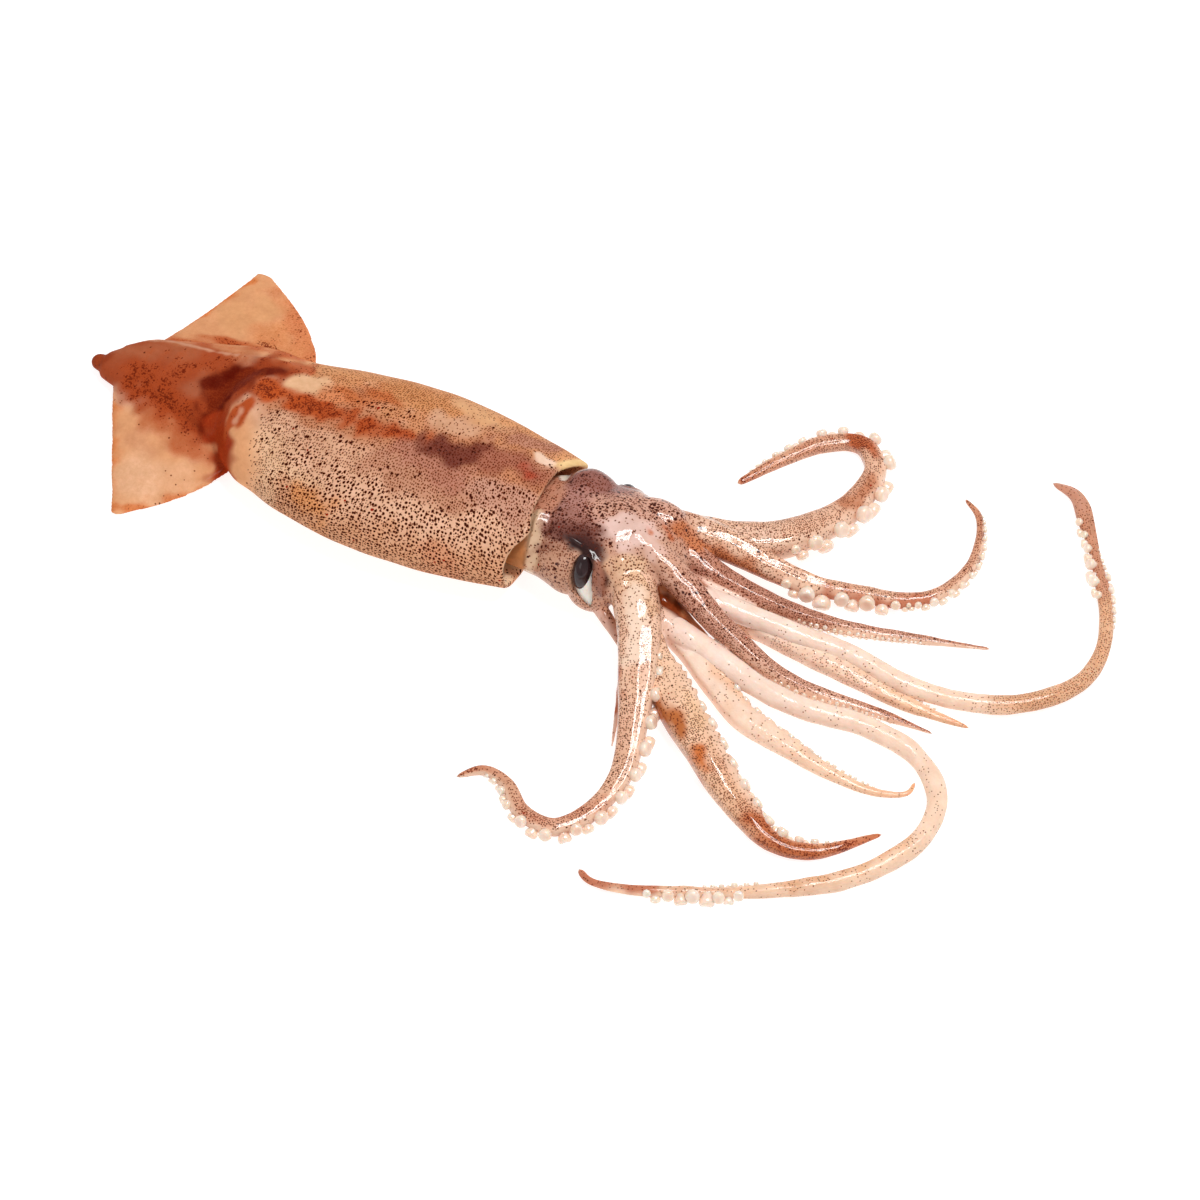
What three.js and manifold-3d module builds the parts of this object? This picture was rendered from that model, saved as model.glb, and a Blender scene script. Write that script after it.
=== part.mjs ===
// A whole raw squid lying on its belly: the slack mantle with its two fins, the head in the mantle's mouth,
// eight arms and two long tentacles spread on the table, with their suckers, and the two eyes.
// The animal is one solid. Millimetres, +Z up. It is modelled from the tail tip at X = 0 towards the arms
// at +X, with the table at Z = 0, and then set on the middle of its own footprint.
import * as THREE from 'three';
import { mergeVertices } from 'three/addons/utils/BufferGeometryUtils.js';
import Module from 'manifold-3d';

const wasm = await Module();
wasm.setup();

// ---- driving dimensions ----
const UP = new THREE.Vector3(0, 0, 1);
const GAP = 0.35; // clearance round each eyeball
const FOOTPRINT_MIDDLE = [222, -10]; // the middle of the box that the squid lies in

// Sections across the body: [x, half width, height, sideways shift of the middle].
const MANTLE = {
  stations: [
    [3, 3, 8, 3],
    [20, 12, 16, 6],
    [45, 20, 21, 6],
    [70, 27.5, 26, 4],
    [92, 33.5, 29.5, 1],
    [112, 38.5, 32, -0.5],
    [150, 43, 34.5, -0.5],
    [185, 39.5, 34, -0.5],
    [212, 33.5, 33, -1],
  ],
  wall: 4.2, // thickness of the free rim
  rimRound: 1.4, // how far the rim's edge is rounded back
  cavityDepth: 15, // how far the open space round the neck reaches in
  lappet: 7, // how far the rim's middle reaches over the neck
  lappetAngle: 52, // degrees up from +Y where the lappet stands
  lappetSpread: 30, // degrees
  sides: 28,
  rows: 16,
};
const TAIL_NUB = { radius: 3.7, at: [1.6, 3, 5.2] };
const HEAD = {
  stations: [
    [194, 20, 22, 1],
    [208, 22.5, 28, 1],
    [220, 24.5, 32, 1],
    [233, 27.5, 34.5, 1],
    [246, 26.5, 34, 1.5],
    [258, 21, 30, 2],
    [268, 12, 20, 2],
  ],
  sides: 22,
  rows: 8,
};
const BELLY = 0.42; // share of a section's height that lies below its widest line
const SLUMP = 1.16; // how far the lower half would reach below the table, which flattens it
const FIN = {
  rootWidth: 6, // the fin starts this far from the midline, inside the mantle
  frontOffset: 18, // distance from the midline where the front edges meet the mantle
  rootHeight: 10, // middle of the fin's thickness where it leaves the mantle
  rootThickness: 7,
  edgeThickness: 1.6,
  midline: 5, // the tail's own middle
  chordSteps: 9,
  spanSteps: 7,
};
// The rear edge runs straight out from the tail at its own sweep to the fin's corner.
const FINS = [
  { side: 1, span: 74, rearStart: 13, sweep: 0.31, tipChord: 5, front: 88, roundness: 2 },
  { side: -1, span: 67, rearStart: 8, sweep: 0.54, tipChord: 6, front: 93, roundness: 1.6 },
];
const EYE = {
  x: 239,
  rises: [14, 27], // degrees above the widest line of the head, on the far side and on the near side
  sink: 2.6, // how far its middle lies under the skin
  radii: [5.2, 7.6, 4.6], // along the head, round the head, outwards
};

// Each limb: its path over the table from the head to the tip, its radius at even steps along it, how high its
// root rides over its resting height, and which side of its way the suckers are on: 1 left, -1 right.
const LIMBS = [
  {
    name: 'arm_far_hooked',
    path: [[246, 12], [265, 21], [284, 27], [302, 36], [315, 52], [323, 72], [323, 90], [312, 100],
      [297, 94], [284, 79], [272, 61]],
    girth: [10, 9, 8.4, 6.2, 4.6, 2.8, 0.9],
    lift: 10,
    suckers: [{ side: -1, from: 0.36, to: 0.97 }],
  },
  {
    name: 'arm_far_front',
    path: [[246, 12], [268, 18], [285, 21], [303, 20], [321, 21], [340, 28], [358, 34], [372, 44],
      [379, 62], [377, 77], [370, 90], [361, 94]],
    girth: [10, 8, 6.4, 4.8, 4, 3.6, 2.8, 0.9],
    lift: 12,
    suckers: [{ side: -1, from: 0.36, to: 0.97 }],
  },
  {
    name: 'arm_upper_far',
    path: [[246, 8], [262, 11], [277, 9], [291, 7], [306, 7], [325, 9], [346, 13], [364, 18], [397, 28]],
    girth: [8, 6, 4.8, 3.8, 2.8, 1.8, 0.7],
    lift: 19,
    suckers: [{ side: -1, from: 0.62, to: 0.95 }],
  },
  {
    name: 'arm_upper_near',
    path: [[248, 0], [264, -5], [274, -11], [288, -17], [302, -23], [320, -26], [342, -24], [366, -21],
      [391, -19]],
    girth: [8, 6, 5, 4.4, 3.8, 2.4, 0.7],
    lift: 19,
    suckers: [{ side: -1, from: 0.64, to: 0.95 }],
  },
  {
    name: 'arm_near_curled',
    path: [[246, -2], [259, -14], [269, -30], [279, -53], [287, -76], [289, -92], [284, -112],
      [273, -123], [259, -120], [249, -111], [239, -109], [230, -116]],
    girth: [10.5, 9.6, 8.2, 6.4, 5, 3.6, 0.7],
    lift: 12,
    suckers: [{ side: 1, from: 0.42, to: 0.9 }],
  },
  {
    name: 'arm_near_front',
    path: [[252, -8], [266, -17], [280, -31], [294, -46], [308, -60], [322, -72], [340, -84], [357, -92],
      [373, -89], [390, -70]],
    girth: [9.5, 9.5, 8.8, 7.2, 5.6, 3.4, 0.7],
    lift: 4,
    suckers: [{ side: 1, from: 0.3, to: 0.88 }],
  },
  {
    name: 'arm_lower_near',
    path: [[254, -8], [272, -16], [289, -25], [303, -35], [319, -45], [338, -50], [361, -54], [381, -54],
      [392, -49], [393, -43]],
    girth: [7, 6.6, 5.8, 5, 3.8, 2.2, 0.7],
    lift: 2,
    suckers: [{ side: 1, from: 0.3, to: 0.9 }],
  },
  {
    name: 'arm_lower_far',
    path: [[254, 2], [274, 1], [292, -2], [312, -7], [334, -11], [356, -13], [380, -14], [403, -10]],
    girth: [7, 6.6, 6, 5.4, 4.4, 2.8, 0.7],
    lift: 4,
    suckers: [{ side: 1, from: 0.5, to: 0.95 }],
  },
  {
    name: 'tentacle_far',
    path: [[254, -4], [276, -5], [300, -4], [327, -3], [348, -2], [371, -5], [392, -3], [412, 4],
      [430, 17], [439, 36], [437, 56], [428, 72], [418, 91], [408, 107], [391, 117]],
    girth: [6, 5.2, 4.6, 4.3, 4.2, 4.6, 4.9, 4.2, 0.9],
    lift: 10,
    suckers: [{ side: 1, from: 0.66, to: 0.93 }, { side: -1, from: 0.66, to: 0.93 }],
  },
  {
    name: 'tentacle_near',
    path: [[254, -10], [279, -20], [300, -24], [322, -32], [343, -33], [366, -30], [390, -34], [404, -48],
      [404, -66], [393, -84], [371, -107], [340, -124], [320, -132], [292, -136]],
    girth: [6, 5.4, 4.8, 4.4, 4.1, 4, 4.3, 4.8, 4.4, 0.9],
    lift: 6,
    suckers: [{ side: 1, from: 0.76, to: 0.93 }],
  },
];
const LIMB = {
  sides: 8,
  stepLength: 10, // length of one step along a limb
  flatness: 0.88, // height over width of a limb's section
  settled: 0.62, // share of its length by which a limb has come down to the table
  buried: 0.12, // share of the lowest radius that lies under the table and is cut flat
};
const SUCKER = {
  share: 0.44, // radius over the limb's radius
  least: 1.35, // no smaller ones stand on the thin ends
  most: 2.5,
  height: 1.8, // over its radius
  pitch: 7.2, // distance between neighbours in a row over the radius
  stem: 0.66, // radius at the foot over the radius at the rim
  tilts: [14, -16], // degrees of the two rows above and below the limb's side
  sunk: 0.6, // where its foot stands inside the limb, over the limb's radius
  sides: 6,
};

// ---- helpers ----

// A smooth value at x through a table of [x, value...] rows.
function throughRows(rows, column) {
  const xs = rows.map((row) => row[0]);
  const values = rows.map((row) => row[column]);
  const curve = new THREE.CubicInterpolant(xs, values, 1);
  return (x) => curve.evaluate(THREE.MathUtils.clamp(x, xs[0], xs.at(-1)))[0];
}

// A smooth value at share s of the way through evenly spaced values.
function throughEven(values) {
  const last = values.length - 1;
  return throughRows(values.map((value, i) => [i / last, value]), 1);
}

// A three.js geometry as a manifold solid; a mirrored one has its faces turned back outwards.
function solid(geometry, mirrored = false) {
  const bare = geometry.clone();
  bare.deleteAttribute('normal');
  bare.deleteAttribute('uv');
  const merged = mergeVertices(bare, 1e-4);
  const triVerts = new Uint32Array(merged.index.array);
  if (mirrored) triVerts.reverse();
  const vertProperties = new Float32Array(merged.attributes.position.array);
  return new wasm.Manifold(new wasm.Mesh({ numProp: 3, vertProperties, triVerts }));
}

// A manifold solid as a named three.js mesh.
function named(name, body, material) {
  const { vertProperties, triVerts } = body.getMesh();
  const geometry = new THREE.BufferGeometry();
  geometry.setAttribute('position', new THREE.BufferAttribute(vertProperties, 3));
  geometry.setIndex(new THREE.BufferAttribute(triVerts, 1));
  geometry.computeVertexNormals();
  const mesh = new THREE.Mesh(geometry, material);
  mesh.name = name;
  return mesh;
}

// Moves every vertex of a geometry by a function of its place.
function reshape(geometry, move) {
  const position = geometry.attributes.position;
  const point = new THREE.Vector3();
  for (let i = 0; i < position.count; i += 1) {
    point.fromBufferAttribute(position, i);
    const { x, y, z } = move(point, i);
    position.setXYZ(i, x, y, z);
  }
  return geometry;
}

// ---- body sections ----

// The section of a slack body at x: a crowned back, and a belly that the table presses flat.
function sectionOf(stations) {
  const width = throughRows(stations, 1);
  const height = throughRows(stations, 2);
  const middle = throughRows(stations, 3);
  return (x, angle, inset = 0, share = 1) => {
    const widest = height(x) * BELLY;
    const rise = Math.sin(angle);
    const reach = rise > 0 ? height(x) - widest : widest * SLUMP;
    const y = middle(x) + (width(x) - inset) * Math.cos(angle) * share;
    const z = widest + (reach - inset) * rise * share;
    return new THREE.Vector3(x, y, Math.max(z, inset));
  };
}

// Rows of [share of the section, inset, x] turned round the body's axis.
function turnedBody(rows, sides, place) {
  const profile = rows.map(([share, , x]) => new THREE.Vector2(share, x));
  const lathe = new THREE.LatheGeometry(profile, sides);
  return reshape(lathe, (point, i) => {
    const [share, inset, x] = rows[i % rows.length];
    const turn = Math.floor(i / rows.length) % sides;
    return place(x, (turn / sides) * 2 * Math.PI, inset, share);
  });
}

function mantle() {
  const { stations, wall, rimRound, cavityDepth, sides, rows } = MANTLE;
  const tail = stations[0][0];
  const rim = stations.at(-1)[0];
  const section = sectionOf(stations);
  const outer = Array.from({ length: rows }, (_, i) => [1, 0, tail + ((rim - rimRound - tail) * i) / (rows - 1)]);
  const edge = [[1, 0.4, rim - 0.4], [1, wall / 2, rim], [1, wall - 0.4, rim - 0.4]];
  const inner = [[1, wall, rim - rimRound], [1, wall, rim - cavityDepth / 2], [1, wall, rim - cavityDepth]];
  const profile = [[0, 0, tail], ...outer, ...edge, ...inner, [0, wall, rim - cavityDepth]];
  const lappetAngle = THREE.MathUtils.degToRad(MANTLE.lappetAngle);
  const lappetSpread = THREE.MathUtils.degToRad(MANTLE.lappetSpread);
  return solid(turnedBody(profile, sides, (x, angle, inset, share) => {
    const point = section(x, angle, inset, share);
    const away = Math.atan2(Math.sin(angle - lappetAngle), Math.cos(angle - lappetAngle)) / lappetSpread;
    const nearRim = THREE.MathUtils.smoothstep(x, rim - 2 * cavityDepth, rim);
    point.x += MANTLE.lappet * Math.exp(-away * away) * nearRim * share;
    return point;
  }));
}

function head() {
  const { stations, sides, rows } = HEAD;
  const back = stations[0][0];
  const front = stations.at(-1)[0];
  const wallRows = Array.from({ length: rows }, (_, i) => [1, 0, back + ((front - back) * i) / (rows - 1)]);
  return solid(turnedBody([[0, 0, back], ...wallRows, [0, 0, front]], sides, sectionOf(stations)));
}

function tailNub() {
  const ball = new THREE.SphereGeometry(TAIL_NUB.radius, 10, 7);
  return solid(ball.translate(...TAIL_NUB.at));
}

// A flat fin: a plate that thins towards its edges and droops from the mantle's side to the table.
function fin({ side, span, rearStart, sweep, tipChord, front, roundness }) {
  const plate = new THREE.BoxGeometry(1, 1, 1, FIN.chordSteps, FIN.spanSteps, 1);
  return solid(reshape(plate, ({ x, y, z }) => {
    const along = x + 0.5;
    const out = (y + 0.5) ** 0.9;
    const distance = THREE.MathUtils.lerp(FIN.rootWidth, span, out);
    const rear = rearStart + sweep * distance;
    const tip = rearStart + sweep * span + tipChord;
    const curve = THREE.MathUtils.clamp((distance - FIN.frontOffset) / (span - FIN.frontOffset), 0, 1);
    const fore = tip + (front - tip) * (1 - curve ** roundness);
    const blunt = Math.sin(Math.PI * along) ** 0.5;
    const thin = THREE.MathUtils.lerp(FIN.rootThickness, FIN.edgeThickness, out ** 0.5);
    const thickness = FIN.edgeThickness * 0.5 + (thin - FIN.edgeThickness * 0.5) * blunt;
    const middle = thickness / 2 + (FIN.rootHeight - FIN.rootThickness / 2) * (1 - out) ** 2;
    return new THREE.Vector3(
      THREE.MathUtils.lerp(rear, fore, along),
      FIN.midline + side * distance,
      middle + z * thickness,
    );
  }), side < 0);
}

// ---- limbs ----

// The middle line, radius and side directions of a limb at share s of its length.
function limbFrame({ path, girth, lift }) {
  const line = new THREE.CatmullRomCurve3(path.map(([x, y]) => new THREE.Vector3(x, y, 0)), false, 'centripetal');
  line.arcLengthDivisions = 400;
  const radius = throughEven(girth);
  const centre = (s) => {
    const point = line.getPointAt(s);
    const down = Math.max(0, 1 - s / LIMB.settled);
    point.z = radius(s) * LIMB.flatness * (1 - LIMB.buried) + lift * down ** 1.6;
    return point;
  };
  const frame = (s) => {
    const ahead = centre(Math.min(s + 0.004, 1));
    const tangent = ahead.sub(centre(Math.max(s - 0.004, 0))).normalize();
    const right = new THREE.Vector3().crossVectors(tangent, UP).normalize();
    const up = new THREE.Vector3().crossVectors(right, tangent);
    return { centre: centre(s), radius: radius(s), tangent, right, up };
  };
  return { frame, length: line.getLength() };
}

// A tapering tube along the limb's path, cut flat where it meets the table.
function limbTube(limb) {
  const { frame, length } = limbFrame(limb);
  const steps = Math.round(length / LIMB.stepLength);
  const tube = new THREE.CylinderGeometry(1, 1, 1, LIMB.sides, steps);
  return solid(reshape(tube, ({ x, y, z }) => {
    const at = frame(y + 0.5);
    const point = at.centre.clone();
    point.addScaledVector(at.right, x * at.radius);
    point.addScaledVector(at.up, z * at.radius * LIMB.flatness);
    point.z = Math.max(point.z, 0);
    return point;
  }));
}

// One sucker: a short cup on a narrower stem, standing on the limb's side.
function sucker(at, side, tilt, radius) {
  const outwards = at.right.clone().multiplyScalar(-side * Math.cos(tilt));
  outwards.addScaledVector(at.up, Math.sin(tilt));
  const height = SUCKER.height * radius;
  const cup = new THREE.CylinderGeometry(radius, radius * SUCKER.stem, height, SUCKER.sides);
  cup.applyQuaternion(new THREE.Quaternion().setFromUnitVectors(new THREE.Vector3(0, 1, 0), outwards));
  const middle = at.centre.clone().addScaledVector(outwards, at.radius * SUCKER.sunk + height / 2);
  cup.translate(middle.x, middle.y, middle.z);
  return solid(reshape(cup, ({ x, y, z }) => new THREE.Vector3(x, y, Math.max(z, 0))));
}

// Two alternating rows of suckers along one side of a limb.
function suckers(limb) {
  const { frame, length } = limbFrame(limb);
  const cups = [];
  for (const { side, from, to } of limb.suckers) {
    let s = from;
    for (let row = 0; s < to; row = 1 - row) {
      const at = frame(s);
      const radius = Math.min(at.radius * SUCKER.share, SUCKER.most);
      if (radius > SUCKER.least) cups.push(sucker(at, side, THREE.MathUtils.degToRad(SUCKER.tilts[row]), radius));
      s += (SUCKER.pitch * radius) / 2 / length;
    }
  }
  return cups;
}

// ---- eyes ----

// An eyeball in the head's side, grown by a clearance where it is the socket's cutter.
function eyeball(side, clearance) {
  const section = sectionOf(HEAD.stations);
  const rise = THREE.MathUtils.degToRad(EYE.rises[side > 0 ? 0 : 1]);
  const angle = side > 0 ? rise : Math.PI - rise;
  const surface = section(EYE.x, angle);
  const outwards = new THREE.Vector3(0, side * Math.cos(rise), Math.sin(rise));
  const ball = new THREE.SphereGeometry(1, 16, 10);
  ball.scale(EYE.radii[0] + clearance, EYE.radii[1] + clearance, EYE.radii[2] + clearance);
  ball.applyQuaternion(new THREE.Quaternion().setFromUnitVectors(new THREE.Vector3(0, 0, 1), outwards));
  const centre = surface.addScaledVector(outwards, -EYE.sink);
  return solid(ball.translate(centre.x, centre.y, centre.z));
}

// ---- the squid ----
const skin = new THREE.MeshStandardMaterial({ color: 0xd9a98f, roughness: 0.35, metalness: 0 });
const lens = new THREE.MeshStandardMaterial({ color: 0x1d1a22, roughness: 0.1, metalness: 0 });

const flesh = wasm.Manifold.union([
  mantle(),
  tailNub(),
  head(),
  ...FINS.map(fin),
  ...LIMBS.map(limbTube),
  ...LIMBS.flatMap(suckers),
]);
const body = flesh.subtract(eyeball(1, GAP)).subtract(eyeball(-1, GAP));

const squid = new THREE.Group();
squid.add(named('squid', body, skin));
squid.add(named('eye_far', eyeball(1, 0), lens));
squid.add(named('eye_near', eyeball(-1, 0), lens));
squid.position.set(-FOOTPRINT_MIDDLE[0], -FOOTPRINT_MIDDLE[1], 0);

export default squid;
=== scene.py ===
"""The looks of a whole raw squid that lies on its belly on a table.

Sizes are millimetres. The animal is worked out from its tail tip at x = 0 towards its arms at +x, with
the table at z = 0, and each piece's mesh is written in metres about the middle of the footprint.
"""

import logging
import math
from dataclasses import dataclass, field
from enum import Enum
from typing import Callable, Sequence

import bpy
import numpy as np
from mathutils import Matrix, Vector


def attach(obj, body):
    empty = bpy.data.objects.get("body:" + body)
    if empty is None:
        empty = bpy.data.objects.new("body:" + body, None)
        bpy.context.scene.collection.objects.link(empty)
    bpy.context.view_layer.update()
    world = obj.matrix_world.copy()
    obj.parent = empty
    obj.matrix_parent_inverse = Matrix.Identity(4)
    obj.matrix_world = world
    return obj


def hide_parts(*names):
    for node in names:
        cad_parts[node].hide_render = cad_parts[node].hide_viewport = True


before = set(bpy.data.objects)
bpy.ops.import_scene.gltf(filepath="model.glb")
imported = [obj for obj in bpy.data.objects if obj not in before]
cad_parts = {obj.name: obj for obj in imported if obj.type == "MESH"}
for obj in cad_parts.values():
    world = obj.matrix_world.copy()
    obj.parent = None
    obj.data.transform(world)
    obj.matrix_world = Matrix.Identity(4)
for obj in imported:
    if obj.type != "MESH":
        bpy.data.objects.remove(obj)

LOG = logging.getLogger("squid")
MM = 0.001
TAIL_TIP = np.array([-222.0, 10.0, 0.0])  # where x = 0, y = 0 lies, from the middle of the footprint
SHEET = "skin"  # the map along and round a piece that its dots follow
TINT = "tint"  # the vertex attribute that holds the skin's own colour

Object = bpy.types.Object
Socket = bpy.types.NodeSocket
Input = Socket | float | tuple  # what a node's input takes: another's output, or a value
Array = np.ndarray
Place = tuple[float, ...]
Shade = tuple[int, int, int]  # a colour's screen values, from 0 to 255
Colour = tuple[float, float, float]  # the same colour as the shader wants it


# ---- small tools ----


def linear(shade: Shade) -> Colour:
    """A colour as the shader wants it.

    Args:
        shade: its screen values.

    Returns:
        The linear colour.
    """
    values = (value / 255 for value in shade)
    return tuple(v / 12.92 if v <= 0.04045 else ((v + 0.055) / 1.055) ** 2.4 for v in values)


def ease(low: float, high: float, value: Array) -> Array:
    """A smooth step from 0 at low to 1 at high.

    Args:
        low, high: where the step starts and ends; high may be below low.
        value: where to read it.

    Returns:
        The step's height at each value.
    """
    t = np.clip((value - low) / (high - low), 0, 1)
    return t * t * (3 - 2 * t)


def hermite(t: Array, start: Array, leaving: Array, end: Array, arriving: Array) -> Array:
    """A smooth curve between two values.

    Args:
        t: how far along it to read, from 0 to 1.
        start, end: the values at its ends.
        leaving, arriving: its slopes there.

    Returns:
        The curve's value at each t.
    """
    return (
        (2 * t**3 - 3 * t**2 + 1) * start
        + (t**3 - 2 * t**2 + t) * leaving
        + (3 * t**2 - 2 * t**3) * end
        + (t**3 - t**2) * arriving
    )


def through(stops: Sequence[float], values: Sequence[float], at: Array) -> Array:
    """A smooth curve through stops.

    Args:
        stops: rising positions.
        values: the value at each stop.
        at: where to read the curve; outside the stops the end value holds.

    Returns:
        The curve's value at each place.
    """
    stops = np.asarray(stops, float)
    values = np.asarray(values, float)
    at = np.clip(at, stops[0], stops[-1])
    steps = np.diff(stops)
    secants = np.diff(values) / steps
    slopes = np.empty_like(values)
    slopes[1:-1] = (values[2:] - values[:-2]) / (stops[2:] - stops[:-2])
    slopes[0] = 1.5 * secants[0] - 0.5 * slopes[1]
    slopes[-1] = 1.5 * secants[-1] - 0.5 * slopes[-2]
    cell = np.clip(np.searchsorted(stops, at, side="right") - 1, 0, len(stops) - 2)
    step = steps[cell]
    t = (at - stops[cell]) / step
    return hermite(t, values[cell], step * slopes[cell], values[cell + 1], step * slopes[cell + 1])


def evenly(values: Sequence[float], share: Array) -> Array:
    """A smooth curve through evenly spaced values.

    Args:
        values: the values from share 0 to share 1.
        share: where to read the curve.

    Returns:
        The curve's value at each share.
    """
    return through(np.linspace(0, 1, len(values)), values, share)


def drift(points: Array, size: float, seed: int) -> Array:
    """Smooth unevenness in space.

    Args:
        points: places, one a row.
        size: the usual width of its swells.
        seed: which of many such patterns.

    Returns:
        A value at each place, mostly between -1 and 1.
    """
    waves = 9
    shortest, longest = 1.1, 3.0  # a wave's length over the size
    peak = 1.5  # how many times its usual swing the sum seldom passes
    rng = np.random.default_rng(seed)
    total = np.zeros(len(points))
    for _ in range(waves):
        direction = rng.normal(size=3)
        direction *= math.tau / (np.linalg.norm(direction) * size * rng.uniform(shortest, longest))
        total += np.sin(points @ direction + rng.uniform(0, math.tau))
    return total / math.sqrt(waves / 2) / peak


def turned_from(turn: Array, middle: float) -> Array:
    """How far turns in radians lie from a middle one, between minus and plus half a turn."""
    return np.angle(np.exp(1j * (turn - middle)))


def distance_to(path: Sequence[Place], points: Array) -> Array:
    """How far places are from a line of straight stretches.

    Args:
        path: the line's corners. Corners of two numbers are read as seen from above.
        points: places, one a row.

    Returns:
        The distance of each place.
    """
    corners = np.asarray(path, float)
    flat = points[:, : corners.shape[1]]
    if len(corners) == 1:
        return np.linalg.norm(flat - corners[0], axis=1)
    best = np.full(len(flat), np.inf)
    for start, end in zip(corners[:-1], corners[1:]):
        way = end - start
        t = np.clip((flat - start) @ way / (way @ way), 0, 1)
        best = np.minimum(best, np.linalg.norm(flat - start - t[:, None] * way, axis=1))
    return best


# ---- meshes ----


def let_go() -> None:
    """Leaves nothing selected."""
    if bpy.context.object and bpy.context.object.mode != "OBJECT":
        bpy.ops.object.mode_set(mode="OBJECT")
    bpy.ops.object.select_all(action="DESELECT")


def hold(*objects: Object) -> None:
    """Selects objects and nothing else.

    Args:
        objects: what to select; the first one becomes the active object.
    """
    let_go()
    for thing in objects:
        thing.select_set(True)
    bpy.context.view_layer.objects.active = objects[0]


def edit_all(obj: Object, operator: Callable[..., object], **options: object) -> None:
    """Runs an edit-mode operator on the whole of a mesh.

    Args:
        obj: a mesh object.
        operator: the operator.
        options: its options.
    """
    hold(obj)
    bpy.ops.object.mode_set(mode="EDIT")
    bpy.ops.mesh.select_all(action="SELECT")
    operator(**options)
    bpy.ops.object.mode_set(mode="OBJECT")


def ball(name: str, sides: int, rings: int) -> tuple[Object, Array, Array]:
    """A ball whose poles lie on its z axis, to be drawn out into a long form.

    Args:
        name: the object's name.
        sides: faces round the axis.
        rings: faces from pole to pole.

    Returns:
        The object, each vertex's turn round the axis in radians, and its share of the way from the
        upper pole to the lower one.
    """
    let_go()
    bpy.ops.mesh.primitive_uv_sphere_add(segments=sides, ring_count=rings, radius=1)
    obj = bpy.context.object
    obj.name = obj.data.name = name
    x, y, z = spots_of(obj).T
    return obj, np.arctan2(y, x), np.arccos(np.clip(z, -1, 1)) / math.pi


def on_ball(turn: Array, share: Array) -> Array:
    """Places on a ball of radius 1, one a row, from what ball() tells of its vertices."""
    tilt = share * math.pi
    return np.stack([np.sin(tilt) * np.cos(turn), np.sin(tilt) * np.sin(turn), np.cos(tilt)], 1)


def spots_of(obj: Object) -> Array:
    """An object's vertices in the mesh's own units, one a row."""
    spots = np.empty(len(obj.data.vertices) * 3)
    obj.data.vertices.foreach_get("co", spots)
    return spots.reshape(-1, 3)


def points_of(obj: Object) -> Array:
    """An object's vertices in millimetres from the tail tip, one a row."""
    return spots_of(obj) / MM - TAIL_TIP


def normals_of(obj: Object) -> Array:
    """The way that each vertex of an object faces, one a row."""
    ways = np.empty(len(obj.data.vertices) * 3)
    obj.data.vertex_normals.foreach_get("vector", ways)
    return ways.reshape(-1, 3)


def set_points(obj: Object, points: Array) -> None:
    """Moves an object's vertices.

    Args:
        obj: a mesh object.
        points: the new places in millimetres from the tail tip, one a row.
    """
    obj.data.vertices.foreach_set("co", ((points + TAIL_TIP) * MM).ravel())
    obj.data.update()


def wrap(obj: Object, along: Array, turn: Array, radius: Array, flat: Array | None = None) -> None:
    """Writes the map that the dots in the skin follow, in metres along and round a piece.

    Args:
        obj: the piece.
        along: each vertex's distance along it in mm.
        turn: each vertex's turn round it in radians.
        radius: its radius there in mm.
        flat: which vertices are mapped straight from above instead.
    """
    mesh = obj.data
    while mesh.uv_layers:
        mesh.uv_layers.remove(mesh.uv_layers[0])
    corners, starts, sizes = (np.empty(len(rows), int) for rows in (mesh.loops, mesh.polygons, mesh.polygons))
    mesh.loops.foreach_get("vertex_index", corners)
    mesh.polygons.foreach_get("loop_start", starts)
    mesh.polygons.foreach_get("loop_total", sizes)
    # a face that spans the seam keeps all its corners on one side of it
    lead = np.repeat(turn[corners[starts]], sizes)
    turned = turn[corners] + math.tau * np.round((lead - turn[corners]) / math.tau)
    spots = np.stack([along[corners], radius[corners] * turned], 1) * MM
    if flat is not None:
        above = points_of(obj)[corners, :2] * MM
        spots = np.where(np.repeat(flat[corners[starts]], sizes)[:, None], above, spots)
    mesh.uv_layers.new(name=SHEET).data.foreach_set("uv", spots.astype(np.float32).ravel())


def fuse(parts: Sequence[Object], voxel: float, polish: int) -> Object:
    """Melts closed forms that overlap into one skin.

    Args:
        parts: the forms; the first one keeps its name.
        voxel: the size of the new faces in millimetres.
        polish: how often the skin is smoothed over.

    Returns:
        The one object that is left.
    """
    hold(*parts)
    if len(parts) > 1:
        bpy.ops.object.join()
    body = bpy.context.object
    bpy.ops.object.modifier_add(type="REMESH")
    remesh = body.modifiers[-1]
    remesh.mode = "VOXEL"
    remesh.voxel_size = voxel * MM
    bpy.ops.object.modifier_apply(modifier=remesh.name)
    smooth_over(body, polish)
    return body


def smooth_over(obj: Object, times: int) -> None:
    """Smooths an object's vertices among their neighbours.

    Args:
        obj: a mesh object.
        times: how often.
    """
    if not times:
        return
    hold(obj)
    bpy.ops.object.modifier_add(type="SMOOTH")
    smooth = obj.modifiers[-1]
    smooth.factor = 0.5
    smooth.iterations = times
    bpy.ops.object.modifier_apply(modifier=smooth.name)


def keep(obj: Object, material: bpy.types.Material, slot: str, *nodes: str) -> None:
    """Finishes a piece: smooth faces, its material, and its place in the frame.

    Args:
        obj: the piece.
        material: what it is made of.
        slot: the record's material slot; not used.
        nodes: the CAD nodes that it stands for.
    """
    hold(obj)
    bpy.ops.object.shade_smooth()
    obj.data.materials.clear()
    obj.data.materials.append(material)
    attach(obj, "root")
    if nodes:
        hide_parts(*nodes)
    LOG.info("%s: %d faces", obj.name, len(obj.data.polygons))


# ---- colours on the skin ----


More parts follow.
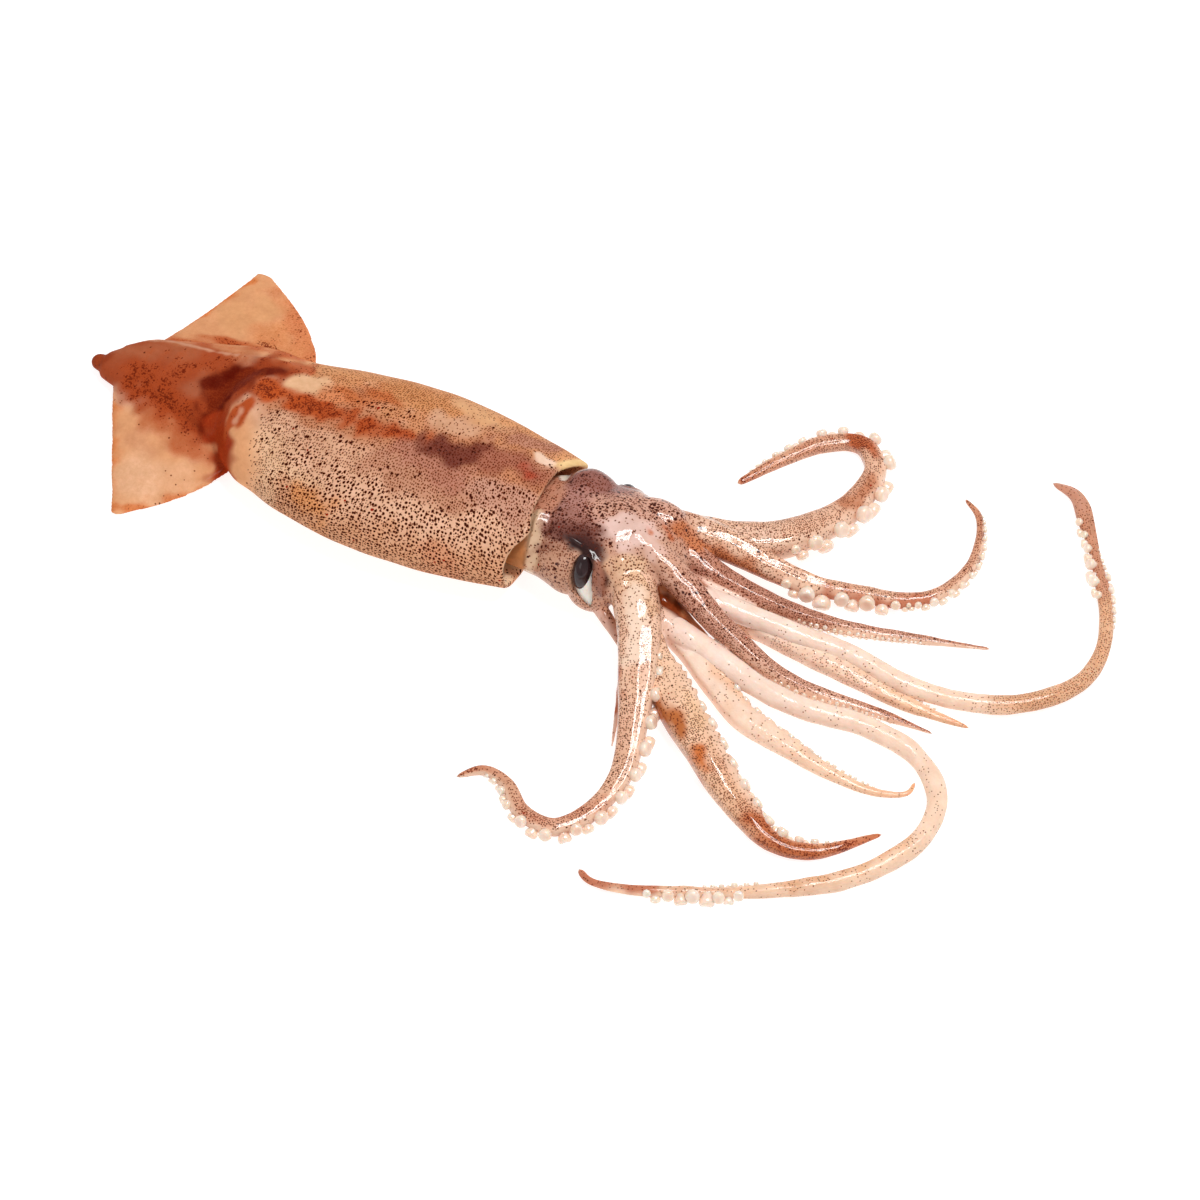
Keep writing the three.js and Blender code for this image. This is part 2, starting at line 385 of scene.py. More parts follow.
class Stain(Enum):
    """What can lie in the skin, each a vertex attribute between 0 and 1."""

    RUST = "rust"
    PLUM = "plum"
    FINE = "fine_dots"
    BOLD = "bold_dots"
    WET = "wet"


RUST, PLUM, FINE, BOLD, WET = Stain


@dataclass(frozen=True)
class Mark:
    """A soft-edged place on the skin.

    Attributes:
        path: the middle line in mm; one corner makes a round mark, and corners of two numbers are
            read as seen from above.
        reach: how far it reaches from its middle line.
        soft: width of its edge.
        tint: the skin's own colour there, or None to leave it.
        stains: how much of each stain there is.
        ragged: how far its edge wanders.
        strength: how strongly it covers what was there.
    """

    path: tuple[Place, ...]
    reach: float
    soft: float
    tint: Shade | None = None
    stains: dict[Stain, float] = field(default_factory=dict)
    ragged: float = 1.5
    strength: float = 1.0


class Pigments:
    """The colours of one piece's skin, laid on in order and stored on its vertices."""

    def __init__(self, points: Array, tint: Colour | Array, stains: dict[Stain, float]) -> None:
        """Starts from a plain skin.

        Args:
            points: the piece's vertices in mm, one a row.
            tint: the colour all over, or one a vertex.
            stains: how much of each stain there is all over.
        """
        self.points = points
        self.tint = np.broadcast_to(np.asarray(tint, float), (len(points), 3)).copy()
        self.stains = {stain: np.full(len(points), stains.get(stain, 0.0)) for stain in Stain}

    def blend(
        self, weight: Array, tint: Colour | Array | None, stains: dict[Stain, float | Array]
    ) -> None:
        """Covers the skin by a weight at each vertex.

        Args:
            weight: from 0 to 1, one a vertex.
            tint: the colour laid on, or one a vertex, or None to leave the colour.
            stains: the stains laid on, each with one amount or one a vertex.
        """
        if tint is not None:
            self.tint += (np.asarray(tint) - self.tint) * weight[:, None]
        for stain, amount in stains.items():
            self.stains[stain] += (amount - self.stains[stain]) * weight

    def lay(self, marks: Sequence[Mark]) -> None:
        """Lays marks on in order.

        Args:
            marks: the marks; a later one covers an earlier one.
        """
        for number, mark in enumerate(marks):
            away = distance_to(mark.path, self.points)
            away += mark.ragged * drift(self.points, 3 + 0.5 * mark.reach, number)
            weight = mark.strength * ease(mark.reach + mark.soft / 2, mark.reach - mark.soft / 2, away)
            self.blend(weight, linear(mark.tint) if mark.tint else None, mark.stains)

    def store(self, obj: Object) -> None:
        """Writes the colours to a mesh's vertices.

        Args:
            obj: the piece, whose vertices are the ones that this skin was made for.
        """
        rows = np.concatenate([self.tint, np.ones((len(self.tint), 1))], axis=1)
        layer = obj.data.attributes.new(TINT, "FLOAT_COLOR", "POINT")
        layer.data.foreach_set("color", rows.astype(np.float32).ravel())
        for stain, amount in self.stains.items():
            layer = obj.data.attributes.new(stain.value, "FLOAT", "POINT")
            layer.data.foreach_set("value", np.clip(amount, 0, 1).astype(np.float32))


# ---- materials ----


@dataclass(frozen=True)
class Dots:
    """What all the dots in the skin have in common.

    Attributes:
        disorder: how irregularly their cells lie, from 0 to 1.
        wander, wander_size: how far the cells are pushed about, and over what length, in mm.
        smallest: the smallest dot's radius over the largest one's.
        edge: softness of a dot's edge in mm.
        margin: width of the brown margin round a dot in mm.
    """

    disorder: float = 0.66
    wander: float = 0.6
    wander_size: float = 2.6
    smallest: float = 0.6
    edge: float = 0.05
    margin: float = 0.2


DOTS = Dots()


class Graph:
    """A material's nodes, written one after another."""

    def __init__(self, name: str, mapped: bool = False) -> None:
        """Starts an empty material.

        Args:
            name: the material's name.
            mapped: whether its dots follow the piece's map; else they lie in space.
        """
        self.material = bpy.data.materials.new(name)
        self.material.use_nodes = True
        self.tree = self.material.node_tree
        self.tree.nodes.clear()
        self.place = self.node("ShaderNodeTexCoord").outputs["Object"]
        self.kind = "2D" if mapped else "3D"
        self.sheet = self.node("ShaderNodeUVMap", uv_map=SHEET).outputs["UV"] if mapped else self.place
        self.wander = None

    def node(
        self, kind: str, sockets: dict[str | int, Input] | None = None, **settings: object
    ) -> bpy.types.Node:
        """Adds a node.

        Args:
            kind: the node's type.
            sockets: input names or numbers, each with a value or with the output to join to it.
            settings: the node's own options.

        Returns:
            The new node.
        """
        node = self.tree.nodes.new(kind)
        for name, value in settings.items():
            setattr(node, name, value)
        for name, value in (sockets or {}).items():
            if isinstance(value, Socket):
                self.tree.links.new(value, node.inputs[name])
            else:
                node.inputs[name].default_value = value
        return node

    def read(self, name: str, output: str = "Fac") -> Socket:
        """An attribute's output."""
        return self.node("ShaderNodeAttribute", attribute_name=name).outputs[output]

    def math(self, operation: str, *values: Input) -> Socket:
        """The result of a sum on one to three values."""
        return self.node("ShaderNodeMath", dict(enumerate(values)), operation=operation).outputs[0]

    def step(self, value: Input, low: Input, high: Input) -> Socket:
        """A smooth step of a value from 0 at low to 1 at high."""
        sockets = {"Value": value, "From Min": low, "From Max": high}
        return self.node("ShaderNodeMapRange", sockets, interpolation_type="SMOOTHSTEP").outputs["Result"]

    def mix(self, share: Input, first: Input, second: Input, how: str = "MIX") -> Socket:
        """Two colours mixed by a share of the second."""
        sockets = {0: share, 6: first, 7: second}
        return self.node("ShaderNodeMix", sockets, data_type="RGBA", blend_type=how).outputs[2]

    def noise(self, size: float, detail: float = 3, rough: float = 0.55) -> Socket:
        """Cloudy noise.

        Args:
            size: the usual width of its swells in mm.
            detail, rough: how many finer noises lie on it, and how strongly.

        Returns:
            Its height, spread between 0 and 1.
        """
        sockets = {"Vector": self.place, "Scale": 1 / (size * MM), "Detail": detail, "Roughness": rough}
        cloud = self.node("ShaderNodeTexNoise", sockets).outputs["Fac"]
        spread = {"Value": cloud, "From Min": 0.3, "From Max": 0.7}
        return self.node("ShaderNodeMapRange", spread).outputs["Result"]

    def cells(self, size: float) -> bpy.types.Node:
        """A pattern of cells, slightly out of true.

        Args:
            size: width of a cell in mm.

        Returns:
            The cells' node.
        """
        if self.wander is None:
            sockets = {"Vector": self.place, "Scale": 1 / (DOTS.wander_size * MM), "Detail": 1}
            cloud = self.node("ShaderNodeTexNoise", sockets).outputs["Color"]
            sockets = {0: cloud, "Scale": DOTS.wander * MM}
            shift = self.node("ShaderNodeVectorMath", sockets, operation="SCALE").outputs[0]
            moved = self.node("ShaderNodeVectorMath", {0: self.sheet, 1: shift}, operation="ADD")
            self.wander = moved.outputs[0]
        sockets = {"Vector": self.wander, "Scale": 1 / (size * MM), "Randomness": DOTS.disorder}
        return self.node("ShaderNodeTexVoronoi", sockets, voronoi_dimensions=self.kind)

    def dots(self, size: float, largest: float, amount: Input) -> tuple[Socket, ...]:
        """Round dots, at most one in each cell.

        Args:
            size: width of a cell in mm.
            largest: the largest dot's radius in mm.
            amount: share of the cells that hold a dot.

        Returns:
            The dots' mask, the mask of the brown margin round them, and a random number for each dot.
        """
        cells = self.cells(size)
        away = cells.outputs["Distance"]
        chance = self.node("ShaderNodeSeparateColor", {0: cells.outputs["Color"]}).outputs
        least = DOTS.smallest * largest / size
        radius = self.math("MULTIPLY_ADD", chance[1], largest / size - least, least)
        soft = DOTS.edge / size
        mask = self.step(away, self.math("ADD", radius, soft), self.math("SUBTRACT", radius, soft))
        margin = self.step(away, self.math("ADD", radius, DOTS.margin / size), radius)
        there = self.math("LESS_THAN", chance[2], amount)
        return self.math("MULTIPLY", mask, there), self.math("MULTIPLY", margin, there), chance[0]

    def bump(self, height: Socket, depth: float, strength: float, under: Socket | None = None) -> Socket:
        """A roughened surface.

        Args:
            height: the height that roughens it, from 0 to 1.
            depth: the height's full swing in mm.
            strength: how much of it shows.
            under: the way that the surface faces before.

        Returns:
            The way that it then faces.
        """
        sockets = {"Height": height, "Distance": depth * MM, "Strength": strength}
        if under is not None:
            sockets["Normal"] = under
        return self.node("ShaderNodeBump", sockets).outputs["Normal"]

    def finish(self, sockets: dict[str, Input]) -> bpy.types.Material:
        """Ends the material with a shader.

        Args:
            sockets: the shader's inputs.

        Returns:
            The material.
        """
        shader = self.node("ShaderNodeBsdfPrincipled", sockets, subsurface_method="RANDOM_WALK")
        self.node("ShaderNodeOutputMaterial", {"Surface": shader.outputs[0]})
        return self.material


def paint(colour: Colour) -> tuple[float, float, float, float]:
    """A linear colour with full cover, as a socket takes it."""
    return (*colour, 1.0)


def ink(shade: Shade) -> tuple[float, float, float, float]:
    """A screen colour with full cover, as a socket takes it."""
    return paint(linear(shade))


@dataclass(frozen=True)
class Skin:
    """Living skin over pale flesh, with stains and dots that follow the vertex attributes.

    Attributes:
        name: the material's name.
        mapped: whether its dots follow the piece's map.
        dry: roughness where it is dry.
        moist: roughness where it is wet.
        coat: how much of a wet film lies on it.
        coat_rough: roughness of that film.
        fine_size, bold_size: width of the cells that hold a fine or a bold dot in mm.
        fine_radius, bold_radius: the largest radius of such a dot in mm.
        grain: depth of its fine wrinkles in mm.
        beads: depth in mm of the uneven slime on it, which breaks its highlights up.
        glow: how much light goes through the flesh.
        mottle: how blotchy its colour is.
    """

    name: str
    mapped: bool = True
    dry: float = 0.5
    moist: float = 0.25
    coat: float = 0.3
    coat_rough: float = 0.2
    fine_size: float = 1.0
    fine_radius: float = 0.31
    bold_size: float = 1.75
    bold_radius: float = 0.57
    grain: float = 0.12
    beads: float = 0.04
    glow: float = 0.05
    mottle: float = 0.5
    brown: Colour = (0.62, 0.32, 0.14)  # what a dot's margin multiplies the skin by
    red_dots: float = 0.015  # share of the bold dots that are red

    def build(self) -> bpy.types.Material:
        """Makes the material.

        Returns:
            The material.
        """
        g = Graph(self.name, self.mapped)
        patchy = g.noise(2.6, 4, 0.65)
        fleck = g.noise(0.8, 2, 0.6)
        shade = g.mix(g.noise(8, 4), paint((1.05, 1.04, 1.04)), paint((0.91, 0.86, 0.82)))
        base = g.mix(1.0, g.read(TINT, "Color"), shade, "MULTIPLY")
        blotch = g.mix(g.noise(1.9, 4, 0.7), paint((1.05, 1.06, 1.08)), paint((0.94, 0.87, 0.80)))
        base = g.mix(self.mottle, base, blotch, "MULTIPLY")
        base = self.granular(g, base, (patchy, fleck), RUST, (192, 84, 38), (104, 26, 8))
        base = self.granular(g, base, (patchy, fleck), PLUM, (112, 60, 52), (40, 14, 12))
        crowded = g.math("MULTIPLY_ADD", g.noise(5, 2), 0.7, 0.65)
        amount = g.math("MULTIPLY", g.read(FINE.value), crowded)
        fine, margin, kind = g.dots(self.fine_size, self.fine_radius, amount)
        base = g.mix(g.math("MULTIPLY", margin, 0.5), base, paint(self.brown), "MULTIPLY")
        fine_colour = g.mix(kind, ink((64, 20, 8)), ink((112, 44, 22)))
        base = g.mix(g.math("MULTIPLY", fine, 0.92), base, fine_colour)
        bold, margin, kind = g.dots(self.bold_size, self.bold_radius, g.read(BOLD.value))
        base = g.mix(g.math("MULTIPLY", margin, 0.7), base, paint(self.brown), "MULTIPLY")
        red = g.math("GREATER_THAN", kind, 1 - self.red_dots)
        base = g.mix(bold, base, g.mix(red, ink((62, 14, 3)), ink((150, 26, 14))))
        wrinkles = g.bump(g.noise(2.2, 3), self.grain * 1.5, 0.4)
        normal = g.bump(g.noise(0.7, 2), self.grain, 0.4, wrinkles)
        film = g.bump(g.noise(3.2, 2), self.beads, 0.35)
        wet = g.read(WET.value)
        rough = g.node("ShaderNodeMapRange", {"Value": wet, "To Min": self.dry, "To Max": self.moist})
        return g.finish(
            {
                "Base Color": base,
                "Roughness": rough.outputs[0],
                "Specular IOR Level": 0.0,  # the coat alone shines
                "Subsurface Weight": self.glow,
                "Subsurface Radius": (1.0, 0.5, 0.3),
                "Subsurface Scale": 2.4 * MM,
                "Coat Weight": self.coat,
                "Coat Roughness": self.coat_rough,
                "Coat IOR": 1.34,
                "Coat Normal": film,
                "Normal": normal,
            }
        )

    def granular(
        self, g: Graph, base: Socket, noises: tuple[Socket, Socket], stain: Stain, wash: Shade, grain: Shade
    ) -> Socket:
        """Lays a stain: a patchy wash of colour, and dark grains that crowd together where it is strong.

        Args:
            g: the material being written.
            base: the colour under it.
            noises: the coarse and the fine noise that break it up.
            stain: which attribute says where it lies.
            wash: the wash's colour.
            grain: the grains' colour.

        Returns:
            The stained colour.
        """
        patchy, fleck = noises
        amount = g.read(stain.value)
        cloudy = g.math("MULTIPLY_ADD", patchy, 0.5, 0.28)
        broken = g.math("MULTIPLY_ADD", g.step(fleck, 0.45, 0.65), 0.5, cloudy)
        share = g.math("MINIMUM", g.math("MULTIPLY", amount, broken), 0.94)
        base = g.mix(share, base, ink(wash))
        level = g.math("MULTIPLY_ADD", amount, -0.80, 1.12)
        speck = g.math("ADD", g.math("MULTIPLY", fleck, 0.58), g.math("MULTIPLY", patchy, 0.42))
        grains = g.step(speck, g.math("SUBTRACT", level, 0.10), g.math("ADD", level, 0.10))
        return g.mix(g.math("MULTIPLY", grains, 0.88), base, ink(grain))


@dataclass(frozen=True)
class Cup:
    """The pale, glassy flesh of the suckers."""

    name: str = "sucker_flesh"
    pale: Shade = (254, 230, 214)
    warm: Shade = (248, 212, 188)

    def build(self) -> bpy.types.Material:
        """Makes the material.

        Returns:
            The material.
        """
        g = Graph(self.name)
        base = g.mix(g.noise(9, 3), ink(self.pale), ink(self.warm))
        return g.finish(
            {
                "Base Color": base,
                "Roughness": 0.22,
                "Subsurface Weight": 0.6,
                "Subsurface Radius": (1.0, 0.7, 0.5),
                "Subsurface Scale": 2.5 * MM,
                "Coat Weight": 0.8,
                "Coat Roughness": 0.06,
            }
        )


@dataclass(frozen=True)
class Gloss:
    """A plain wet surface, such as the eye's lens or the white of the eye.

    Attributes:
        name: the material's name.
        colour: its colour.
        spots: the colour of the cloudy places in it.
        rough: how blurred it reflects.
        glow: how much light goes through it.
    """

    name: str
    colour: Shade
    spots: Shade
    rough: float = 0.08
    glow: float = 0.0

    def build(self) -> bpy.types.Material:
        """Makes the material.

        Returns:
            The material.
        """
        g = Graph(self.name)
        base = g.mix(g.noise(4, 3), ink(self.colour), ink(self.spots))
        return g.finish(
            {
                "Base Color": base,
                "Roughness": self.rough,
                "Specular IOR Level": 0.1,
                "Subsurface Weight": self.glow,
                "Subsurface Scale": 2 * MM,
                "Coat Weight": 1.0,
                "Coat Roughness": 0.03,
                "Coat IOR": 1.36,
            }
        )


# ---- body sections ----


@dataclass(frozen=True)
class Body:
    """A slack body: a crowned back, and a belly that the table presses flat.

    Attributes:
        stations: sections as (x, half width, height, sideways shift of the middle).
        belly: share of a section's height that lies below its widest line.
        slump: how far the lower half would reach below the table, over its own height.
    """

    stations: tuple[tuple[float, float, float, float], ...]
    belly: float = 0.42
    slump: float = 1.16

    @property
    def ends(self) -> tuple[float, float]:
        """Where along x the body starts and ends."""
        return self.stations[0][0], self.stations[-1][0]

    def section(self, x: Array) -> tuple[Array, ...]:
        """The half width, the height and the sideways shift of the sections at x."""
        stops, *columns = zip(*self.stations)
        return tuple(through(stops, column, x) for column in columns)

    def at(self, x: Array, angle: Array, inset: Array, share: Array) -> Array:
        """Places on the body.

        Args:
            x: distance from the tail tip.
            angle: radians up from +y round the section.
            inset: depth below the skin.
            share: 1 at the skin, 0 at the section's middle.

        Returns:
            The places, one a row.
        """
        half, height, middle = self.section(x)
        widest = height * self.belly
        rise = np.sin(angle)
        reach = np.where(rise > 0, height - widest, widest * self.slump)
        y = middle + (half - inset) * np.cos(angle) * share
        z = widest + (reach - inset) * rise * share
        return np.stack([x, y, np.maximum(z, inset)], axis=1)

    def turn(self, points: Array) -> Array:
        """How far round its section each place lies.

        Args:
            points: places in mm, one a row.

        Returns:
            The angles in radians up from +y.
        """
        half, height, middle = self.section(points[:, 0])
        rise = points[:, 2] - height * self.belly
        reach = np.where(rise > 0, height * (1 - self.belly), height * self.belly * self.slump)
        return np.arctan2(rise / reach, (points[:, 1] - middle) / half)


@dataclass(frozen=True)
class Fold:
    """A raised or sunken line in a surface.

    Attributes:
        path: its corners in mm.
        height: how far the surface is lifted; negative for a groove.
        width: how wide it is.
    """

    path: tuple[Place, ...]
    height: float
    width: float

    def lift(self, points: Array) -> Array:
        """How far each place is lifted."""
        return self.height * np.exp(-((distance_to(self.path, points) / self.width) ** 2))


def crease(obj: Object, folds: Sequence[Fold], *swells: tuple[float, float, int]) -> None:
    """Lifts a surface along folds and by soft unevenness.

    Args:
        obj: the piece.
        folds: the folds.
        swells: further unevenness as (height, size, seed).
    """
    points = points_of(obj)
    lift = sum((fold.lift(points) for fold in folds), np.zeros(len(points)))
    for height, size, seed in swells:
        lift += height * drift(points, size, seed)
    moved = points + normals_of(obj) * lift[:, None]
    moved[:, 2] = np.maximum(moved[:, 2], np.minimum(points[:, 2], 0.0))
    set_points(obj, moved)


# ---- the mantle ----


@dataclass(frozen=True)
class Fin:
    """One tail fin. The rear edge runs straight out from the tail at its own sweep.

    Attributes:
        side: 1 on the far side, -1 on the near side.
        span: how far the tip stands out from the tail's midline.
        rear_start: where the rear edge would cross that midline.
        sweep: how far the rear edge moves forwards for each mm outwards.
        tip_chord: the fin's length at its tip.
        front: where the front edge meets the mantle.
        roundness: how far out the front edge stays forwards; 1 is a straight edge.
        root_width: where the fin starts inside the tail.
        front_offset: how far from the midline the front edge starts to fall back.
        root_height: middle of its thickness at the tail.
        root_thickness, edge_thickness: its thickness there and at the tip.
        midline: how far the tail's midline lies to the far side.
        cuts: how often its faces are divided each way.
    """

    side: int
    span: float
    rear_start: float
    sweep: float
    tip_chord: float
    front: float
    roundness: float
    root_width: float = 6
    front_offset: float = 18
    root_height: float = 10
    root_thickness: float = 7
    edge_thickness: float = 1.9
    midline: float = 5
    cuts: int = 40

    def model(self) -> Object:
        """A plate that thins towards its edges and droops from the mantle's side to the table.

        Returns:
            The fin.
        """
        let_go()
        bpy.ops.mesh.primitive_cube_add(size=1)
        plate = bpy.context.object
        plate.name = "fin"
        edit_all(plate, bpy.ops.mesh.subdivide, number_cuts=self.cuts)
        x, y, z = spots_of(plate).T
        along = x + 0.5  # 0 at the rear edge, 1 at the front edge
        out = (y + 0.5) ** 0.9  # 0 at the root, 1 at the tip
        distance = self.root_width + (self.span - self.root_width) * out
        rear = self.rear_start + self.sweep * distance
        tip = self.rear_start + self.sweep * self.span + self.tip_chord
        curve = np.clip((distance - self.front_offset) / (self.span - self.front_offset), 0, 1)
        fore = tip + (self.front - tip) * (1 - curve**self.roundness)
        blunt = np.clip(np.sin(math.pi * along), 0, 1) ** 0.5
        thin = self.root_thickness + (self.edge_thickness - self.root_thickness) * out**0.5
        edge = self.edge_thickness * 0.6
        thickness = edge + (thin - edge) * blunt
        middle = thickness / 2 + (self.root_height - self.root_thickness / 2) * (1 - out) ** 2
        across = self.midline + self.side * distance
        set_points(plate, np.stack([rear + (fore - rear) * along, across, middle + z * thickness], 1))
        if self.side < 0:
            edit_all(plate, bpy.ops.mesh.flip_normals)
        return plate


PEACH: Shade = (232, 170, 124)  # the fins

MANTLE_MARKS: tuple[Mark, ...] = (
    # the back, in bands from the far side to the near side
    Mark(((88, 30), (120, 36), (150, 40), (190, 35), (210, 30)), 13, 10,
         (222, 160, 112), {FINE: 0.6, BOLD: 0}, 3),
    Mark(((88, 19), (150, 22), (190, 20)), 6, 8, (216, 152, 106), {FINE: 0.7, BOLD: 0}, 3),
    Mark(((92, 4), (120, 3), (160, 2), (200, 2)), 13, 12, (200, 136, 100), {FINE: 0.9, BOLD: 0}, 4),
    Mark(((94, -13), (116, -16), (142, -17)), 7, 10, (222, 174, 144), {FINE: 0.95, BOLD: 0.15}, 3),
    Mark(((146, -12), (166, -14), (182, -14)), 8, 10, (202, 148, 120), {FINE: 1, BOLD: 0.15}, 3),
    Mark(((192, -8), (206, -10)), 8, 8, (204, 154, 132), {FINE: 1, BOLD: 0.4}, 2),
    # the near flank
    Mark(((93, -22), (103, -29), (116, -36)), 10, 12, (235, 193, 158), {BOLD: 0.3, FINE: 0.95}, 3),
    Mark(((112, -38), (150, -44), (184, -40), (208, -33)), 6, 9, (222, 168, 132), {BOLD: 0.95, RUST: 0.03}, 2),
    Mark(((118, -34), (132, -38)), 3.5, 7, (224, 158, 106), {RUST: 0.08}, 2),
    Mark(((180, -38), (188, -38)), 3, 6, None, {RUST: 0.34}, 2),
    # fins
    Mark(((36, 52), (62, 62)), 42, 16, PEACH, {FINE: 0, BOLD: 0, RUST: 0.1}),
    Mark(((36, -46), (62, -36)), 34, 12, PEACH, {FINE: 0, BOLD: 0}),
    Mark(((60, 70), (68, 60), (74, 50)), 9, 14, None, {RUST: 0.42}, 4),
    Mark(((58, 68), (68, 58), (76, 46)), 8, 9, (232, 156, 108), {RUST: 0.5}, 5),
    Mark(((56, 44), (66, 46)), 8, 10, (234, 164, 112), {RUST: 0.34}, 4),
    Mark(((36, 58), (44, 47), (50, 62)), 7, 12, (228, 168, 120), {RUST: 0.04}, 3),
    Mark(((16, 24), (26, 46), (36, 74)), 1.2, 3, (232, 140, 78), {RUST: 0.4}, 1),
    Mark(((14, 20), (34, 26), (50, 32), (64, 34), (78, 32)), 5, 9, (196, 104, 62), {RUST: 0.6}, 3),
    Mark(((62, 40), (72, 36)), 3.5, 5, None, {RUST: 0.8}, 2),
    Mark(((14, -12), (24, -28), (34, -46), (42, -64)), 2.4, 6, (238, 150, 90), {RUST: 0.32}),
    Mark(((34, -24), (44, -32)), 6, 14, (222, 160, 118), {RUST: 0.06}, 3),
    Mark(((44, -44), (56, -44), (60, -52)), 10, 14, (243, 194, 154), {RUST: 0.14}, 3),
    Mark(((62, -34), (64, -50), (54, -62)), 7, 10, (238, 184, 142), {RUST: 0.1, FINE: 0.12}, 3),
    Mark(((38, -14), (52, -18), (62, -22)), 6, 10, (198, 118, 78), {RUST: 0.3, FINE: 0.2}, 3),
    Mark(((78, -34), (70, -42), (60, -52), (48, -62)), 2.2, 6, (230, 146, 92), {RUST: 0.4}, 3),
    # tail cone
    Mark(((2, 3), (14, 6), (30, 5), (48, 5), (62, 6)), 15, 10,
         (164, 76, 46), {RUST: 0.26, FINE: 0.1, BOLD: 0}, 3),
    Mark(((8, 8), (18, 8), (26, 14), (40, 15)), 5, 8, (176, 98, 66), {RUST: 0.08}, 2),
    Mark(((0, 2), (4, 3)), 4, 3, (148, 64, 38), {RUST: 0.3}, 0.5),
    Mark(((24, 2), (36, 5), (48, 12), (58, 15)), 4, 8, None, {RUST: 0.66}, 4),
    Mark(((22, -6), (36, -7), (48, -10), (58, -13)), 6, 11, (158, 64, 32), {RUST: 0.7}, 2.5),
    Mark(((48, 1), (56, 3)), 4, 6, (170, 98, 70), {RUST: 0.25}, 2),
    Mark(((16, 16), (30, 19), (45, 19.5), (60, 20)), 0.8, 1.6, (214, 156, 126), {RUST: 0.05}, 0.4),
    # shoulder
    Mark(((84, 18), (76, 13), (68, 8), (63, 0), (62, -10)), 8, 8, (146, 54, 26), {RUST: 0.6, PLUM: 0.1}, 3),
    Mark(((56, 4), (63, 8), (71, 12), (80, 14)), 4.2, 7, (92, 12, 4), {RUST: 0.12, PLUM: 0.05, FINE: 0}, 3),
    Mark(((67, 10), (67, 3), (65, -4), (63, -9)), 4.2, 7, (88, 8, 2), {RUST: 0.05, PLUM: 0, FINE: 0}, 3),
    Mark(((61, -3), (65, 3), (70, 9)), 4.6, 6, (98, 15, 5), {RUST: 0.25, PLUM: 0, FINE: 0}, 3),
    Mark(((84, 22), (94, 24)), 3, 5, (196, 110, 72), {RUST: 0.3}, 2),
    Mark(((64, -10), (70, -15), (74, -20), (77, -26), (80, -32)), 4.6, 5,
         (154, 46, 18), {RUST: 0.3, FINE: 0}, 2),
    Mark(((78, -8), (77.4, -13)), 4.8, 3.5, (186, 84, 44), {RUST: 0.5, BOLD: 0, FINE: 0}, 2),
    Mark(((78, -9), (77.5, -12.5)), 1.4, 3, (216, 154, 124), {RUST: 0.06, BOLD: 0, FINE: 0}, 1),
    # the streak and the patches beside it
    Mark(((91, 11), (98, 14), (104, 16)), 5, 4, (236, 190, 150), {FINE: 0.05, BOLD: 0, RUST: 0}),
    Mark(((80, 7), (88, 4.5), (98, 3.5), (109, 2.8)), 4.2, 6,
         (194, 88, 42), {RUST: 0.74, FINE: 0.2, BOLD: 0}, 2),
    Mark(((106, 2.5), (121, 1.8), (136, 2.4), (150, 3.5), (158, 3)), 3.2, 7,
         (176, 82, 44), {RUST: 0.72, FINE: 0.5, BOLD: 0}, 2.5),
    Mark(((113, 15), (124, 17), (132, 20)), 5, 8, (208, 128, 80), {RUST: 0.34, FINE: 0.9}, 3),
    Mark(((110, 9), (120, 10)), 2.5, 4, (226, 150, 104), {RUST: 0.2}, 2),
    Mark(((136, 28), (148, 27), (158, 24)), 7, 8, (216, 154, 104), {RUST: 0.12, FINE: 1, BOLD: 0}, 3),
    Mark(((138, 11), (148, 12)), 4, 6, (214, 152, 110), {RUST: 0.1, FINE: 0.8}, 2),
    Mark(((160, 32), (170, 29), (180, 27)), 5, 6, (222, 170, 126), {RUST: 0, FINE: 0.2}, 2),
    Mark(((158, 17), (170, 17)), 5, 6, (214, 166, 134), {RUST: 0.04, FINE: 0.35, BOLD: 0}, 2),
    Mark(((152, -3), (162, -5), (176, -8)), 7, 10,
         (190, 132, 110), {FINE: 1, RUST: 0.05, PLUM: 0.05, BOLD: 0}, 3),
    Mark(((157, 4), (166, 4), (174, 4), (180, 10), (187, 6)), 4, 7,
         (140, 82, 64), {PLUM: 0.45, RUST: 0.1, FINE: 0.9, BOLD: 0.1}, 2.5),
    Mark(((163, 3), (170, 1), (178, 5)), 4.5, 6, (124, 66, 54), {PLUM: 0.5, FINE: 1, BOLD: 0.1}, 2),
    Mark(((184, 22), (194, 26), (204, 28)), 5, 7, (194, 136, 110), {FINE: 1, PLUM: 0.06}, 2),
    Mark(((186, 8), (196, 11), (206, 9)), 6, 8, (178, 114, 92), {PLUM: 0.15, RUST: 0.08, FINE: 1, BOLD: 0}, 2),
    Mark(((202, 19), (208, 18)), 2.2, 2, (240, 208, 186), {FINE: 0, RUST: 0, PLUM: 0}, 0.6),
    Mark(((200, 9), (203, 7)), 2, 4, (186, 84, 66), {RUST: 0.3}, 1),
    # the far edge
    Mark(((112, 38, 18), (150, 43, 18), (185, 39, 18), (208, 33, 18)), 4, 8,
         (218, 172, 142), {FINE: 0.4, RUST: 0.0}),
)


